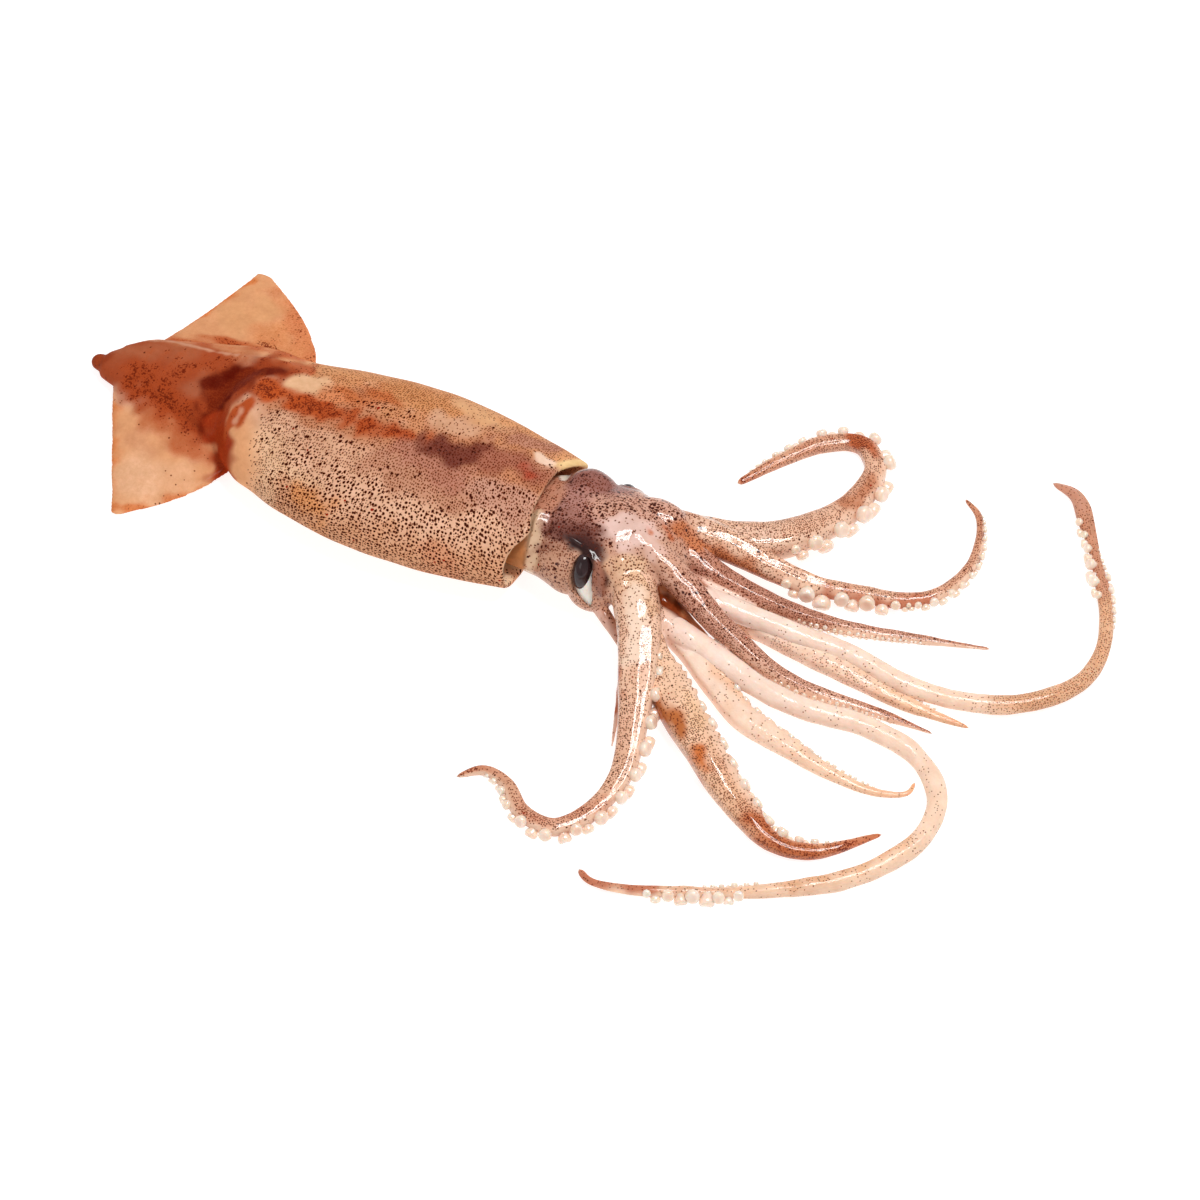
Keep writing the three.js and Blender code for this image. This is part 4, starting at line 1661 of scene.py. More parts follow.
# the eight arms and two tentacles
LIMBS: tuple[Limb, ...] = (
    Limb(
        "arm_far_hooked",
        (
            (246, 12), (265, 20), (284, 26), (301, 35.5), (314, 51.5), (322, 71.5), (322.5, 90), (312, 100),
            (297, 94), (284, 79), (272, 61),
        ),
        (9.5, 8.2, 7.8, 5.9, 4.6, 3.2, 1.5),
        9,
        (Suckers(-1, 0.33, 0.97, 0.64, 3.5),),
        Look.TAN,
        (
            Mark(((308, 100), (316, 97)), 3, 4, (196, 112, 72), {RUST: 0.5}, 2),
            Mark(((320, 64), (324, 80)), 3, 6, (206, 146, 112), {RUST: 0.25}, 2),
            Mark(((275, 22, 24), (300, 33, 18)), 3, 6, (240, 204, 182), {FINE: 0.6}, 1),
            # painted highlight: a near-white, dot-free band along the arm's upper ridge
            Mark(((289, 26, 15), (300, 34, 12.5), (308, 44, 11)), 1.6, 2,
                 (255, 238, 230), {FINE: 0.15, BOLD: 0, RUST: 0}, 0.8),
        ),
    ),
    Limb(
        "arm_far_front",
        (
            (246, 12), (262, 17.5), (276, 21.5), (290, 22.5), (305, 22.2), (321, 23), (340, 28.6), (357, 34),
            (369, 43.5), (375.6, 61), (374, 76), (369, 88), (361, 94),
        ),
        (10, 8.2, 6.6, 5.0, 3.9, 3.3, 2.7, 2.0, 0.8),
        14,
        (Suckers(-1, 0.36, 0.62, 0.88, 3.7), Suckers(-1, 0.62, 0.97, 0.62, 2.2)),
        Look.TAN,
        (
            Mark(((268, 12), (290, 14), (312, 14)), 4, 5, (214, 140, 96), {RUST: 0.3, FINE: 0.9}),
            Mark(((330, 20), (350, 27), (366, 36)), 3, 5, (206, 140, 112), {RUST: 0.35}, 2),
            Mark(((381, 60), (379, 76), (372, 90)), 2, 4, (150, 96, 84), {RUST: 0.2, FINE: 1}, 1),
        ),
        (Keel(112, 0.04, 0.5, 1.0, 16),),
    ),
    Limb(
        "arm_upper_far",
        ((246, 8), (262, 11), (277, 9), (291, 7), (306, 7), (325, 9), (346, 13), (364, 18), (397, 28)),
        (8, 6, 4.8, 3.8, 2.8, 1.8, 0.7),
        19,
        (Suckers(-1, 0.5, 0.95, 0.28),),
        Look.PURPLE,
        (Mark(((284, 8, 20), (300, 6.5, 14), (316, 7.5, 9), (330, 9, 6)), 5, 4,
              (198, 142, 120), {FINE: 1, RUST: 0.08}, 2, 0.8),),
        (Keel(75, 0.22, 0.7, 0.7, 18),),
    ),
    Limb(
        "arm_upper_near",
        (
            (250, 0), (267, -3.4), (274.6, -6.4), (281, -9), (288.5, -12.3), (296, -15.2), (305, -18),
            (314, -20.8), (325, -22.4), (340, -22.2), (362, -20.4), (391, -19.2),
        ),
        (7.4, 6.4, 5.7, 5.0, 4.2, 3.3, 2.6, 1.9, 0.7),
        22,
        (Suckers(-1, 0.55, 0.95, 0.3),),
        Look.PURPLE,
        (
            Mark(((306, -27), (322, -30), (338, -28)), 2.4, 4, (196, 128, 88), {RUST: 0.35}),
            Mark(((270, -10, 18), (282, -15, 13), (296, -20, 8)), 1.8, 2.5, (206, 140, 96), {RUST: 0.25}, 1),
        ),
        (Keel(75, 0.24, 0.7, 0.7, 18),),
        1.05,
    ),
    Limb(
        "arm_near_curled",
        (
            (246, -2), (259, -14), (269, -30), (279, -53), (286.5, -76), (289, -92), (285, -110),
            (274.5, -122.2), (260, -120.5), (250, -112), (239, -109.5), (230, -116),
        ),
        (10.5, 9.9, 9.2, 8.3, 6.6, 5.2, 4.2, 3.7, 3.4, 2.6, 0.7),
        12,
        (Suckers(1, 0.27, 0.94, 0.70, 3.0),),
        Look.TAN,
        (
            Mark(((263, -22), (269, -36), (273, -48)), 3.2, 5,
                 (250, 222, 200), {FINE: 0.3, BOLD: 0, RUST: 0}),
            Mark(((268, -54), (272, -63)), 2.6, 4, (196, 104, 58), {RUST: 0.6}, 1.2),
            Mark(((262, -30, 14), (266, -40, 12)), 2.4, 3, (226, 166, 120), {RUST: 0.15, FINE: 1}, 1),
            Mark(((287, -108), (276, -119), (262, -118)), 4, 6, None, {RUST: 0.5}, 3),
        ),
    ),
    Limb(
        "arm_near_front",
        (
            (250, -10), (261, -19.5), (271.5, -30), (282, -41), (293.5, -51.5), (306.5, -62), (321, -73.5),
            (339, -86), (355, -92.6), (370, -89), (390, -70.3),
        ),
        (6.4, 7.0, 7.5, 8.2, 7.8, 6.5, 5.2, 3.8, 2.4, 0.7),
        5,
        (Suckers(1, 0.36, 0.9, 0.62, 2.6),),
        Look.CREAM,
        (
            Mark(((289, -59.5), (296, -62.5), (303, -65)), 3.2, 4,
                 (190, 112, 60), {RUST: 0.15, FINE: 0.3, BOLD: 0}, 1.2),
            Mark(((313, -71), (319, -78)), 2.4, 4, (216, 128, 66), {RUST: 0.45, FINE: 0.4}),
            Mark(((300, -52), (310, -62)), 3, 5, (244, 204, 168), {RUST: 0.03}, 2),
            Mark(((344, -89), (360, -95), (370, -92)), 4, 6, (196, 122, 80), {RUST: 0.55}, 2),
        ),
        (Keel(152, 0.22, 0.74, 1.6, 13, 0.5),),
    ),
    Limb(
        "arm_lower_near",
        (
            (254, -8), (272, -16), (289, -25), (303, -35), (319, -45), (338, -50), (361, -54), (381, -54),
            (392, -49), (393, -43),
        ),
        (7, 6.6, 5.8, 5, 3.8, 2.2, 0.7),
        2,
        (Suckers(1, 0.3, 0.92, 0.36),),
        Look.PALE,
        (Mark(((300, -30), (318, -40)), 3, 6, (246, 206, 176), {RUST: 0.05, FINE: 0.4}, 3),),
        (Keel(150, 0.2, 0.75, 1.2, 14, 0.5),),
    ),
    Limb(
        "arm_lower_far",
        ((254, 2), (274, 1.5), (292, -0.6), (312, -3.6), (334, -6.8), (356, -9.4), (380, -11.4), (403, -10.6)),
        (7, 6.6, 6, 5.4, 4.4, 2.8, 0.7),
        4,
        (Suckers(1, 0.4, 0.95, 0.36),),
        Look.PALE,
        (
            Mark(((284, -2, 6), (296, -4, 5), (306, -5, 5)), 5, 4, (236, 186, 150), {RUST: 0.16, FINE: 0.6}, 2),
            Mark(((322, -8), (344, -11), (360, -12)), 2, 5, (250, 216, 194), {RUST: 0.05, FINE: 0.6}, 3),
        ),
    ),
    Limb(
        "tentacle_far",
        (
            (254, -4), (276, -5), (300, -4), (327, -3), (348, -2), (371, -5), (392, -3.4), (411, 3), (426, 14),
            (436, 28), (438.4, 44), (434.2, 61.5), (427, 76), (417.5, 92), (410.5, 102), (402, 113.5),
            (391, 117.2),
        ),
        (6, 5.6, 5.2, 4.8, 4.6, 4.4, 4.3, 4.2, 4.1, 3.9, 3.6, 3.2, 2.9, 2.7, 1.9, 2.9, 0.7),
        10,
        (Suckers(1, 0.79, 0.92, 1.2, 3.4, (32, -12)), Suckers(-1, 0.74, 0.88, 0.6, 1.8)),
        Look.TENTACLE,
        (
            Mark(((414, 5), (430, 15), (439, 32), (438, 50), (430, 66)), 8, 16,
                 (232, 186, 150), {FINE: 0.9, RUST: 0.16}, 2),
            Mark(((426, 76), (417, 92), (408, 106), (392, 117)), 8, 12,
                 (208, 154, 126), {FINE: 0.7, RUST: 0.16}, 1),
            Mark(((404, 108), (392, 116)), 5, 5, (206, 152, 128), {FINE: 0.2, RUST: 0.1}, 1),
        ),
        (Keel(20, 0.84, 1.02, 1.4, 14),),
    ),
    Limb(
        "tentacle_near",
        (
            (254, -10), (268, -17.8), (282, -22.4), (300, -26.4), (322, -32), (343, -33), (366, -30),
            (390, -34), (404, -48), (405, -65), (396.5, -83), (383, -98), (366, -109.5), (349, -118.6),
            (331, -126.4), (318, -132), (303, -136.2), (296.5, -136.4), (291, -133.6),
        ),
        (6, 5.7, 5.3, 5.0, 4.8, 4.6, 4.4, 4.2, 4.1, 4.1, 4.0, 3.9, 3.7, 3.0, 2.2, 2.2, 2.0, 1.2),
        7,
        (Suckers(1, 0.80, 0.915, 1.5, 3.6, (36, -14)), Suckers(-1, 0.78, 0.85, 0.7, 2.4)),
        Look.TENTACLE,
        (
            Mark(((318, -130), (306, -134), (292, -136)), 3.4, 4, (200, 132, 104), {FINE: 0.3, RUST: 0.2}),
            Mark(((400, -70), (388, -92), (368, -108)), 2, 5, (240, 196, 160), {RUST: 0.14, FINE: 0.4}, 2),
        ),
        (Keel(160, 0.86, 1.02, 1.2, 14),),
    ),
)


# ---- the head ----


@dataclass(frozen=True)
class EyePlan:
    """Where an eye sits in the head and how large it is.

    Attributes:
        side: 1 on the far side, -1 on the near side.
        rise: degrees above the head's widest line.
        x: distance from the tail tip.
        sink: how far its middle lies under the skin.
    """

    side: int
    rise: float
    x: float = 239
    sink: float = 2.6

    @property
    def side_name(self) -> str:
        """The side that it is on, as the pieces' names say it."""
        return "far" if self.side > 0 else "near"

    def axes(self, body: Body) -> tuple[Array, Array]:
        """The eye's middle, and its axes along the head, round the head and outwards.

        Args:
            body: the head's sections.

        Returns:
            The middle, and the three axes, one a row.
        """
        rise = math.radians(self.rise)
        angle = rise if self.side > 0 else math.pi - rise
        surface = body.at(np.array([self.x]), np.array([angle]), np.zeros(1), np.ones(1))[0]
        out = np.array([0, self.side * math.cos(rise), math.sin(rise)])
        around = np.array([0, -self.side * math.sin(rise), math.cos(rise)])
        return surface - out * self.sink, np.stack([np.array([1.0, 0, 0]), around, out])


HEAD_MARKS: tuple[Mark, ...] = (
    Mark(((220, 2, 32), (228, 6, 33), (236, 4, 34)), 15, 10,
         (184, 132, 121), {FINE: 0.85, BOLD: 0.45, PLUM: 0.04}, 2),
    Mark(((240, 6, 33), (248, 12, 31), (258, 17, 27)), 9, 10, (214, 166, 146), {FINE: 0.8, BOLD: 0.6}, 2),
    Mark(((218, 17, 29), (226, 20, 28), (236, 20, 27)), 7, 7,
         (156, 102, 92), {PLUM: 0.12, FINE: 0.9, BOLD: 0.3}, 2),
    Mark(((228, 26, 22), (240, 25, 20)), 6, 6, (106, 76, 74), {PLUM: 0.4, FINE: 0.7}, 2),
    Mark(((219, -4, 31), (226, -6, 33), (233, -7, 33)), 4, 6,
         (166, 116, 104), {PLUM: 0.16, FINE: 1, BOLD: 0.5}, 2),
    Mark(((222, -12, 29), (228, -11, 31), (234, -10, 32), (240, -10, 33)), 4, 7,
         (126, 80, 70), {PLUM: 0.4, FINE: 1, BOLD: 0.7}),
    Mark(((230, -13, 31), (235, -12, 32), (241, -14, 31), (246, -18, 28), (249, -22, 22)), 3.2, 4,
         (58, 26, 22), {PLUM: 0.3, FINE: 0.4, BOLD: 0}, 1),
    Mark(((233, -15, 31), (238, -16, 31), (243, -18.5, 28.5), (246, -22, 24)), 3, 3,
         (40, 18, 17), {PLUM: 0.1, FINE: 0.1, BOLD: 0}, 0.6),
    Mark(((218, -18, 25), (224, -19, 26), (228, -18, 27)), 4, 5,
         (168, 118, 98), {PLUM: 0.1, FINE: 0.9, BOLD: 0.3}),
    Mark(((246, -3, 33), (252, 0, 33), (257, 0, 31), (253, -7, 32)), 4.6, 6.5,
         (232, 198, 188), {FINE: 0.06, BOLD: 0, PLUM: 0, RUST: 0}, 2),
    Mark(((260, -1, 30), (264, -3, 28)), 3.4, 4, (228, 190, 176), {FINE: 0.1, BOLD: 0, PLUM: 0, WET: 1}),
    Mark(((263, 9, 28), (266, 7, 27)), 1.2, 2.5, (206, 124, 86), {RUST: 0.35}, 1),
    Mark(((257, 3.5, 31), (259, 3, 31)), 0.9, 2.2, (206, 124, 86), {RUST: 0.3}, 1),
    Mark(((229, -23, 21), (227, -25, 14)), 9, 5, (202, 154, 128), {FINE: 0.8, BOLD: 0.15, PLUM: 0}),
    Mark(((245, -18, 28), (248, -23, 22), (250, -26, 14), (252, -28, 8)), 2, 2.5,
         (172, 116, 94), {FINE: 0.5, PLUM: 0.2, BOLD: 0}, 0.8),
    Mark(((249, -19, 27), (252.5, -22.5, 21), (254, -26, 14)), 1.0, 1.6, (96, 52, 40), {PLUM: 0.5}, 0.4),
    Mark(((252, -16, 28), (256, -20, 23), (258, -25, 17)), 4, 4,
         (228, 182, 150), {FINE: 0.4, BOLD: 0, PLUM: 0}),
    Mark(((258, -14, 26), (265, -20, 24), (272, -32, 19)), 5.5, 4, (238, 198, 164), {FINE: 0.85, BOLD: 0}),
    Mark(((262, -22, 22), (270, -36, 16)), 2.4, 3, (250, 220, 196), {RUST: 0, FINE: 0.3}),
    Mark(((256, -28, 14), (262, -34, 8)), 3, 4, (222, 164, 118), {RUST: 0.25, FINE: 0.9}),
    Mark(((262, -36, 3), (268, -50, 3), (274, -64, 3), (280, -79, 3)), 2.4, 1.4,
         (240, 206, 190), {FINE: 0, RUST: 0, BOLD: 0}, 0.3),
    Mark(((250, -26, 6), (258, -32, 5)), 3, 2, (220, 176, 158), {FINE: 0.2, RUST: 0, BOLD: 0}, 0.5),
    # painted shade: dark red-brown in the crevice between the curled near arm and the upper near arm
    Mark(((268, -12, 15), (275, -14, 12), (284, -17, 10)), 4.5, 3.5,
         (112, 46, 18), {RUST: 0.2, FINE: 0, BOLD: 0}, 1),
    Mark(((276, -17, 11), (284, -20, 9), (294, -23.5, 7)), 1.8, 2.5,
         (188, 124, 92), {RUST: 0.15, FINE: 0.5, BOLD: 0}, 0.8),
    Mark(((290, -18, 9), (302, -23, 7)), 2.2, 2.5, (186, 104, 62), {RUST: 0.4, FINE: 0.2, BOLD: 0}, 0.8),
    Mark(((279, 0, 14), (288, -3, 12), (296, -8, 9)), 2.5, 3, (196, 126, 92), {RUST: 0.3}, 1),
    Mark(((276, 16, 17), (290, 15, 14), (304, 14, 11)), 3, 3, (206, 134, 96), {RUST: 0.25, FINE: 0.9}, 1),
    Mark(((204, 6, 26), (209, 4, 28)), 12, 5, (196, 138, 112), {FINE: 0.6, PLUM: 0, RUST: 0.05, BOLD: 0}, 1),
    Mark(((212, 20, 23), (215, 16, 26)), 2.4, 2, (250, 240, 226), {FINE: 0, BOLD: 0, RUST: 0, PLUM: 0}, 0.5),
    Mark(((213, -8, 29), (215, -14, 26), (216, -20, 20), (216, -23, 12)), 3, 3,
         (222, 192, 160), {FINE: 0.1, BOLD: 0, RUST: 0, PLUM: 0}, 0.8),
    # the neck inside the mantle's opening: orange-brown, partly its own tone and partly painted shade of the
    # cavity
    Mark(((204, -8, 20), (208, -18, 14)), 9, 5, (214, 148, 96), {FINE: 0, RUST: 0.1, BOLD: 0}, 1),
)


@dataclass
class Head:
    """The head with its eye sockets, and the crown of arm roots with the webs between them.

    Attributes:
        limbs: the arms and tentacles whose roots are part of it.
        body: its sections.
        swells: the middles and radii of the rounded forms under its skin.
        flap: the loose skin that hangs down beside the curled near arm.
        web: the skin between the upper near arm and the near tentacle.
        eyes: where its eyes sit.
        crown: how far the arms' roots belong to it, in mm from their start.
        voxel: size of the faces.
        sides, rings: faces round and along the skull before it is fused.
        opening: the discs that an eye's opening is made of, each as a place along and round the head
            from the eye's middle and a radius.
        socket: how deep the skin is sunk behind an eye.
        lid: how far the skin is swollen round its opening.
        folds: the raised and sunken lines in its skin.
    """

    limbs: tuple[Limb, ...]
    body: Body = Body((
        (186, 19, 21, 1), (208, 22.5, 28, 1), (220, 24.2, 32, 1.3), (233, 25.9, 33.4, 1.2),
        (246, 26, 34, 2), (258, 22, 31.5, 2), (268, 17, 26.5, 2), (276, 10, 18, 2),
    ))
    swells: tuple[tuple[Place, Place], ...] = (
        ((226, 14.6, 20.5), (13, 12.6, 12.3)),
        ((256, 15.8, 21.5), (14, 9, 9)),
        ((243, -18.6, 8.6), (9.5, 8.2, 8.4)),
    )
    flap: Limb = Limb(
        "flap",
        (
            (238, -19), (246, -22.5), (255, -27.5), (263.5, -34), (268.4, -44), (271.8, -54), (275.5, -66),
            (279.5, -79),
        ),
        (3.2, 3.0, 2.6, 2.0, 1.7, 1.5, 1.2, 0.7),
        9,
        (),
        Look.TAN,
        settled=0.4,
    )
    web: Limb = Limb(
        "web",
        ((254, -5), (263, -9), (271, -12.5), (280, -16), (290, -20.5), (302, -25)),
        (6, 5.4, 5.0, 4.8, 4.4, 2.6),
        10.4,
        (),
        Look.TAN,
        settled=1.3,
    )
    eyes: tuple[EyePlan, ...] = (EyePlan(1, 14), EyePlan(-1, 27))
    crown: float = 62
    voxel: float = 0.62
    sides: int = 100
    rings: int = 90
    opening: tuple[Place, ...] = (
        (0.5, 3.2, 3.5), (0.6, 0.5, 4.0), (0.9, -2.6, 4.4), (1.9, -5.8, 4.1),
        (3.4, -8.8, 3.1), (4.9, -11.4, 2.0), (6.1, -13.6, 0.8),
    )
    socket: float = 6.0
    lid: float = 0.7
    folds: tuple[Fold, ...] = (
        Fold(((228, -12, 31), (236, -14.5, 31), (241, -16.5, 30), (246, -19, 27), (248.5, -22, 23),
              (249.5, -24, 17), (250, -26, 10)), 1.7, 1.2),
        Fold(((244, -14, 31.5), (250, -18, 28), (252.5, -21.5, 23), (254, -24.5, 16), (255, -27, 10)),
             -1.5, 1.3),
        Fold(((230, -16, 30), (236, -17.5, 29.5), (240, -19.5, 28)), -0.8, 1.4),
        Fold(((254, -14, 29), (257, -20, 24), (258, -25, 17)), 0.9, 1.3),
        Fold(((214, -6, 30), (215, -14, 27), (216, -20, 22), (216, -23, 14)), 1.5, 1.6),
        Fold(((218, 2, 32), (219, -10, 30), (219, -18, 25), (219, -22, 18)), -1.3, 1.8),
        Fold(((228, -25, 18), (231, -26, 15)), 2.2, 9),
        Fold(((251, -21, 22), (254, -25.5, 15), (258, -32, 12), (263, -40, 9), (267, -50, 7)), -1.1, 1.1),
        Fold(((261, -3, 29), (266, -6, 26), (271, -9, 22)), 0.8, 3),
    )

    def build(self) -> Object:
        """Models the head and the arm roots as one mesh.

        Returns:
            The head.
        """
        obj, turn, share = ball("head", self.sides, self.rings)
        back, front = self.body.ends
        stops = (0, 0.02, 0.98, 1)
        x = np.interp(share, stops, (back, back, front, front))
        full = np.interp(share, stops, (0, 1, 1, 0))
        set_points(obj, self.body.at(x, -turn, np.zeros_like(x), full))
        parts = [obj]
        for limb in self.limbs:
            parts.append(limb.tube("root", self.crown, lambda mm: 1.015 - 0.075 * ease(28, 60, mm))[0])
        for limb in (self.flap, self.web):
            parts.append(limb.tube(limb.name, math.inf, np.ones_like)[0])
        for place, radii in self.swells:
            parts.append(self.swell(place, radii))
        head = fuse(parts, self.voxel, 8)
        crease(head, self.folds, (0.25, 16, 3), (0.12, 5, 4))
        for eye in self.eyes:
            self.open_eye(head, eye)
        return head

    def swell(self, place: Place, radii: Place) -> Object:
        """A rounded form under the skin, no lower than the table.

        Args:
            place: its middle in mm.
            radii: its radii in mm.

        Returns:
            The form.
        """
        obj, *spread = ball("swell", 32, 20)
        points = on_ball(*spread) * np.array(radii) + np.array(place)
        points[:, 2] = np.maximum(points[:, 2], 0.2)
        set_points(obj, points)
        return obj

    def open_eye(self, head: Object, eye: EyePlan) -> None:
        """Sinks the skin behind an eyeball, and swells it round the opening.

        Args:
            head: the head's mesh.
            eye: which eye.
        """
        middle, axes = eye.axes(self.body)
        points = points_of(head)
        along, around, out = ((points - middle) @ axis for axis in axes)
        stops = np.linspace(0, 1, len(self.opening))
        discs = np.linspace(0, 1, 30)
        # how far each vertex lies from the nearest disc's middle, over that disc's radius
        far = np.full(len(points), np.inf)
        for x, y, radius in zip(*(np.interp(discs, stops, column) for column in zip(*self.opening))):
            far = np.minimum(far, np.hypot(along - x, around - y) / radius)
        near = (out > -9) & (np.abs(along) < 20)
        sunk = np.where(near, ease(1.08, 0.94, far), 0.0) * self.socket
        swollen = np.where(near, self.lid * np.exp(-(((far - 1.2) / 0.15) ** 2)), 0.0)
        set_points(head, points + axes[2] * (swollen - sunk)[:, None])

    def colour(self, head: Object) -> None:
        """Stains the head's skin.

        Args:
            head: the head's mesh.
        """
        points = points_of(head)
        skin = Pigments(points, linear((212, 164, 140)), {FINE: 0.65, WET: 0.55})
        for limb in self.limbs:
            # the nearest place on the limb's middle line
            whole = limb.length()
            shares = np.linspace(0, 1, 120)
            shares = shares[shares * whole < self.crown + 4]
            close = np.full(len(points), np.inf)
            at = np.zeros(len(points))
            for place, share in zip(limb.centre(shares), shares):
                away = np.linalg.norm(points - place, axis=1)
                at = np.where(away < close, share, at)
                close = np.minimum(close, away)
            weight = ease(1.5, 1.05, close / evenly(limb.girth, at)) * ease(16, 34, at * whole)
            tint, stains = limb.look.along(at)
            skin.blend(weight, tint, stains | {WET: 1.0})
        skin.lay(HEAD_MARKS)
        for limb in self.limbs:
            skin.lay(limb.marks)
        below = ease(-0.2, -0.8, normals_of(head)[:, 2])
        pale = {FINE: 0.15, PLUM: 0, RUST: 0.03, BOLD: 0}
        skin.blend(below * 0.8, linear((238, 202, 176)), pale)
        skin.store(head)


@dataclass
class Eye:
    """An eye: the pale ball behind the lids, and the dark lens in it.

    Attributes:
        plan: where it sits.
        head: the head's sections.
        white_radii, lens_radii: radii along the head, round the head and outwards.
        white_shift, lens_shift: places from the eye's middle on the same axes.
        white_turn, lens_turn: degrees that the lower end leans forwards.
    """

    plan: EyePlan
    head: Body
    white_radii: Place = (6.4, 12.6, 5.6)
    lens_radii: Place = (4.1, 8.0, 4.6)
    white_shift: Place = (1.9, -4.6, -3.6)
    lens_shift: Place = (0.1, -0.6, -0.3)
    white_turn: float = 24
    lens_turn: float = 4

    def oval(self, name: str, radii: Place, shift: Place, turn_by: float) -> Object:
        """An ellipsoid on the eye's axes.

        Args:
            name: the object's name.
            radii: its radii along the head, round the head and outwards.
            shift: its place from the eye's middle, on the same axes.
            turn_by: degrees that its lower end leans forwards.

        Returns:
            The object.
        """
        middle, axes = self.plan.axes(self.head)
        obj, *spread = ball(name, 48, 32)
        cos, sin = math.cos(math.radians(turn_by)), math.sin(math.radians(turn_by))
        lean = np.array([[cos, sin, 0], [-sin, cos, 0], [0, 0, 1]])
        set_points(obj, middle + ((on_ball(*spread) * np.array(radii)) @ lean + np.array(shift)) @ axes)
        if self.plan.side > 0:
            # the far eye's axes are mirrored, which turned its faces inwards
            edit_all(obj, bpy.ops.mesh.normals_make_consistent, inside=False)
        return obj

    def build(self) -> tuple[Object, Object]:
        """Models the white and the lens.

        Returns:
            The white and the lens.
        """
        side = self.plan.side_name
        white = self.oval(f"white_{side}", self.white_radii, self.white_shift, self.white_turn)
        lens = self.oval(f"lens_{side}", self.lens_radii, self.lens_shift, self.lens_turn)
        return white, lens


# ---- studio ----


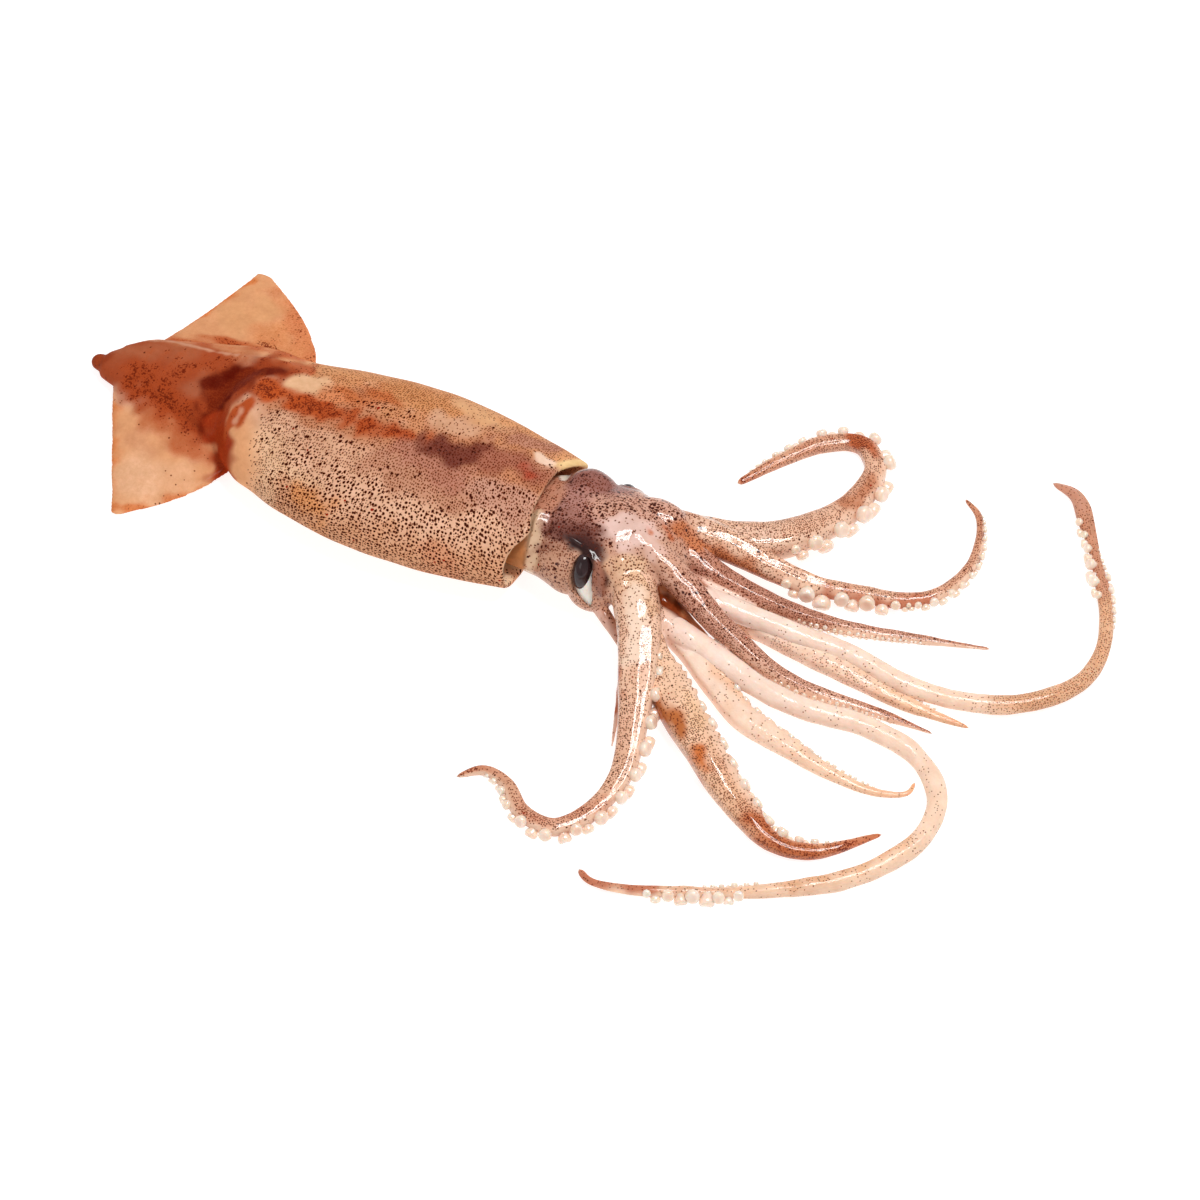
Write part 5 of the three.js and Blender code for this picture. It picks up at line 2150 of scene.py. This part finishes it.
@dataclass(frozen=True)
class Studio:
    """A pale floor, soft light from above and a camera over the near side.

    Attributes:
        azimuth, elevation: the camera's way round and up, in degrees.
        distance: how far it is from its target in metres.
        lens, sensor: its focal length and the width of its sensor in mm.
        target: the place that it looks at, in metres.
        floor_size, floor_glow: width of the floor in metres, and how strongly it glows.
        sky: brightness of the world.
        key_power, key_size, key_place: the light that models the forms, from above, without highlights.
        sheen_power, sheen_size: a larger one in its place that gives the highlights alone.
        fill_power, fill_size, fill_place: a weak one from the near side.
    """

    azimuth: float = 25
    elevation: float = 55
    distance: float = 1.25
    lens: float = 92.5
    sensor: float = 36
    target: Place = (0.0231, -0.0059, 0)
    floor_size: float = 8
    floor_glow: float = 0.80
    sky: float = 0.48
    key_power: float = 8.0
    key_size: tuple[float, float] = (0.19, 0.31)
    key_place: Place = (0.28, 0.14, 1.15)
    sheen_power: float = 22
    sheen_size: tuple[float, float] = (0.40, 0.60)
    fill_power: float = 1.3
    fill_size: tuple[float, float] = (0.6, 0.6)
    fill_place: Place = (-0.3, -1.0, 0.8)

    def floor(self) -> None:
        """Lays the floor."""
        let_go()
        bpy.ops.mesh.primitive_plane_add(size=self.floor_size)
        floor = bpy.context.object
        floor.name = "floor"
        g = Graph("floor")
        shade = g.mix(g.noise(400, 2), paint((0.45, 0.45, 0.45)), paint((0.46, 0.46, 0.46)))
        finish = {"Base Color": shade, "Roughness": 0.9, "Specular IOR Level": 0.0}
        glow = {"Emission Color": (1, 1, 1, 1), "Emission Strength": self.floor_glow}
        floor.data.materials.append(g.finish(finish | glow))

    def light(self, name: str, power: float, size: tuple[float, float], place: Place) -> Object:
        """Hangs a soft box that faces the object.

        Args:
            name: the light's name.
            power: watts.
            size: its width and depth in metres.
            place: where it hangs.

        Returns:
            The light.
        """
        let_go()
        bpy.ops.object.light_add(type="AREA", location=place)
        lamp = bpy.context.object
        lamp.name = name
        lamp.data.shape = "RECTANGLE"
        lamp.data.size, lamp.data.size_y = size
        lamp.data.energy = power
        lamp.rotation_euler = (-Vector(place)).to_track_quat("-Z", "Y").to_euler()
        return lamp

    def build(self) -> None:
        """Sets the stage."""
        self.floor()
        scene = bpy.context.scene
        world = bpy.data.worlds.new("studio")
        world.use_nodes = True
        sky = world.node_tree.nodes["Background"].inputs
        sky["Color"].default_value = (1, 1, 1, 1)
        sky["Strength"].default_value = self.sky
        scene.world = world
        scene.view_settings.view_transform = "Standard"
        self.light("key", self.key_power, self.key_size, self.key_place).visible_glossy = False
        self.light("sheen", self.sheen_power, self.sheen_size, self.key_place).visible_diffuse = False
        self.light("fill", self.fill_power, self.fill_size, self.fill_place)
        let_go()
        bpy.ops.object.camera_add()
        camera = bpy.context.object
        azimuth, elevation = math.radians(self.azimuth), math.radians(self.elevation)
        flat = math.cos(elevation)
        back = Vector((math.sin(azimuth) * flat, -math.cos(azimuth) * flat, math.sin(elevation)))
        camera.location = Vector(self.target) + back * self.distance
        camera.rotation_euler = (-back).to_track_quat("-Z", "Y").to_euler()
        camera.data.lens = self.lens
        camera.data.sensor_width = self.sensor
        camera.data.clip_end = 20
        scene.camera = camera


def main() -> None:
    """Builds the squid and its stage."""
    logging.basicConfig(level=logging.INFO, format="%(message)s")
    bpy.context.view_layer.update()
    Studio().build()

    mantle_skin = Skin("mantle_skin", moist=0.36, coat=0.12, beads=0.06, mottle=0.8).build()
    head_skin = Skin(
        "head_skin", mapped=False, dry=0.42, moist=0.2, coat=1.0, coat_rough=0.08,
        fine_size=0.9, fine_radius=0.42, bold_size=1.6, bold_radius=0.68,
    ).build()
    arm_skin = Skin(
        "arm_skin", dry=0.4, moist=0.22, coat=1.0, coat_rough=0.07,
        fine_size=0.86, bold_size=2, bold_radius=0.42,
    ).build()
    pale_skin = Skin(
        "pale_skin", dry=0.45, moist=0.3, coat=0.6, coat_rough=0.14, beads=0.2, glow=0.25,
        fine_radius=0.26,
    ).build()
    sucker_flesh = Cup().build()
    lens = Gloss("lens", (34, 16, 18), (62, 40, 42)).build()
    white = Gloss("eye_white", (255, 250, 242), (242, 230, 214), glow=0.3).build()

    mantle = Mantle()
    body = mantle.build()
    mantle.colour(body)
    keep(body, mantle_skin, "skin", "squid")

    head = Head(LIMBS)
    skull = head.build()
    head.colour(skull)
    keep(skull, head_skin, "skin", "squid")

    for plan in head.eyes:
        pale_ball, dark_lens = Eye(plan, head.body).build()
        keep(pale_ball, white, "eye", f"eye_{plan.side_name}")
        keep(dark_lens, lens, "eye", f"eye_{plan.side_name}")

    for limb in LIMBS:
        pale = limb.look in (Look.PALE, Look.TENTACLE)
        keep(limb.build(), pale_skin if pale else arm_skin, "skin", "squid")
        keep(SuckerRows(limb).build(), sucker_flesh, "skin", "squid")


if __name__ == "__main__":
    main()
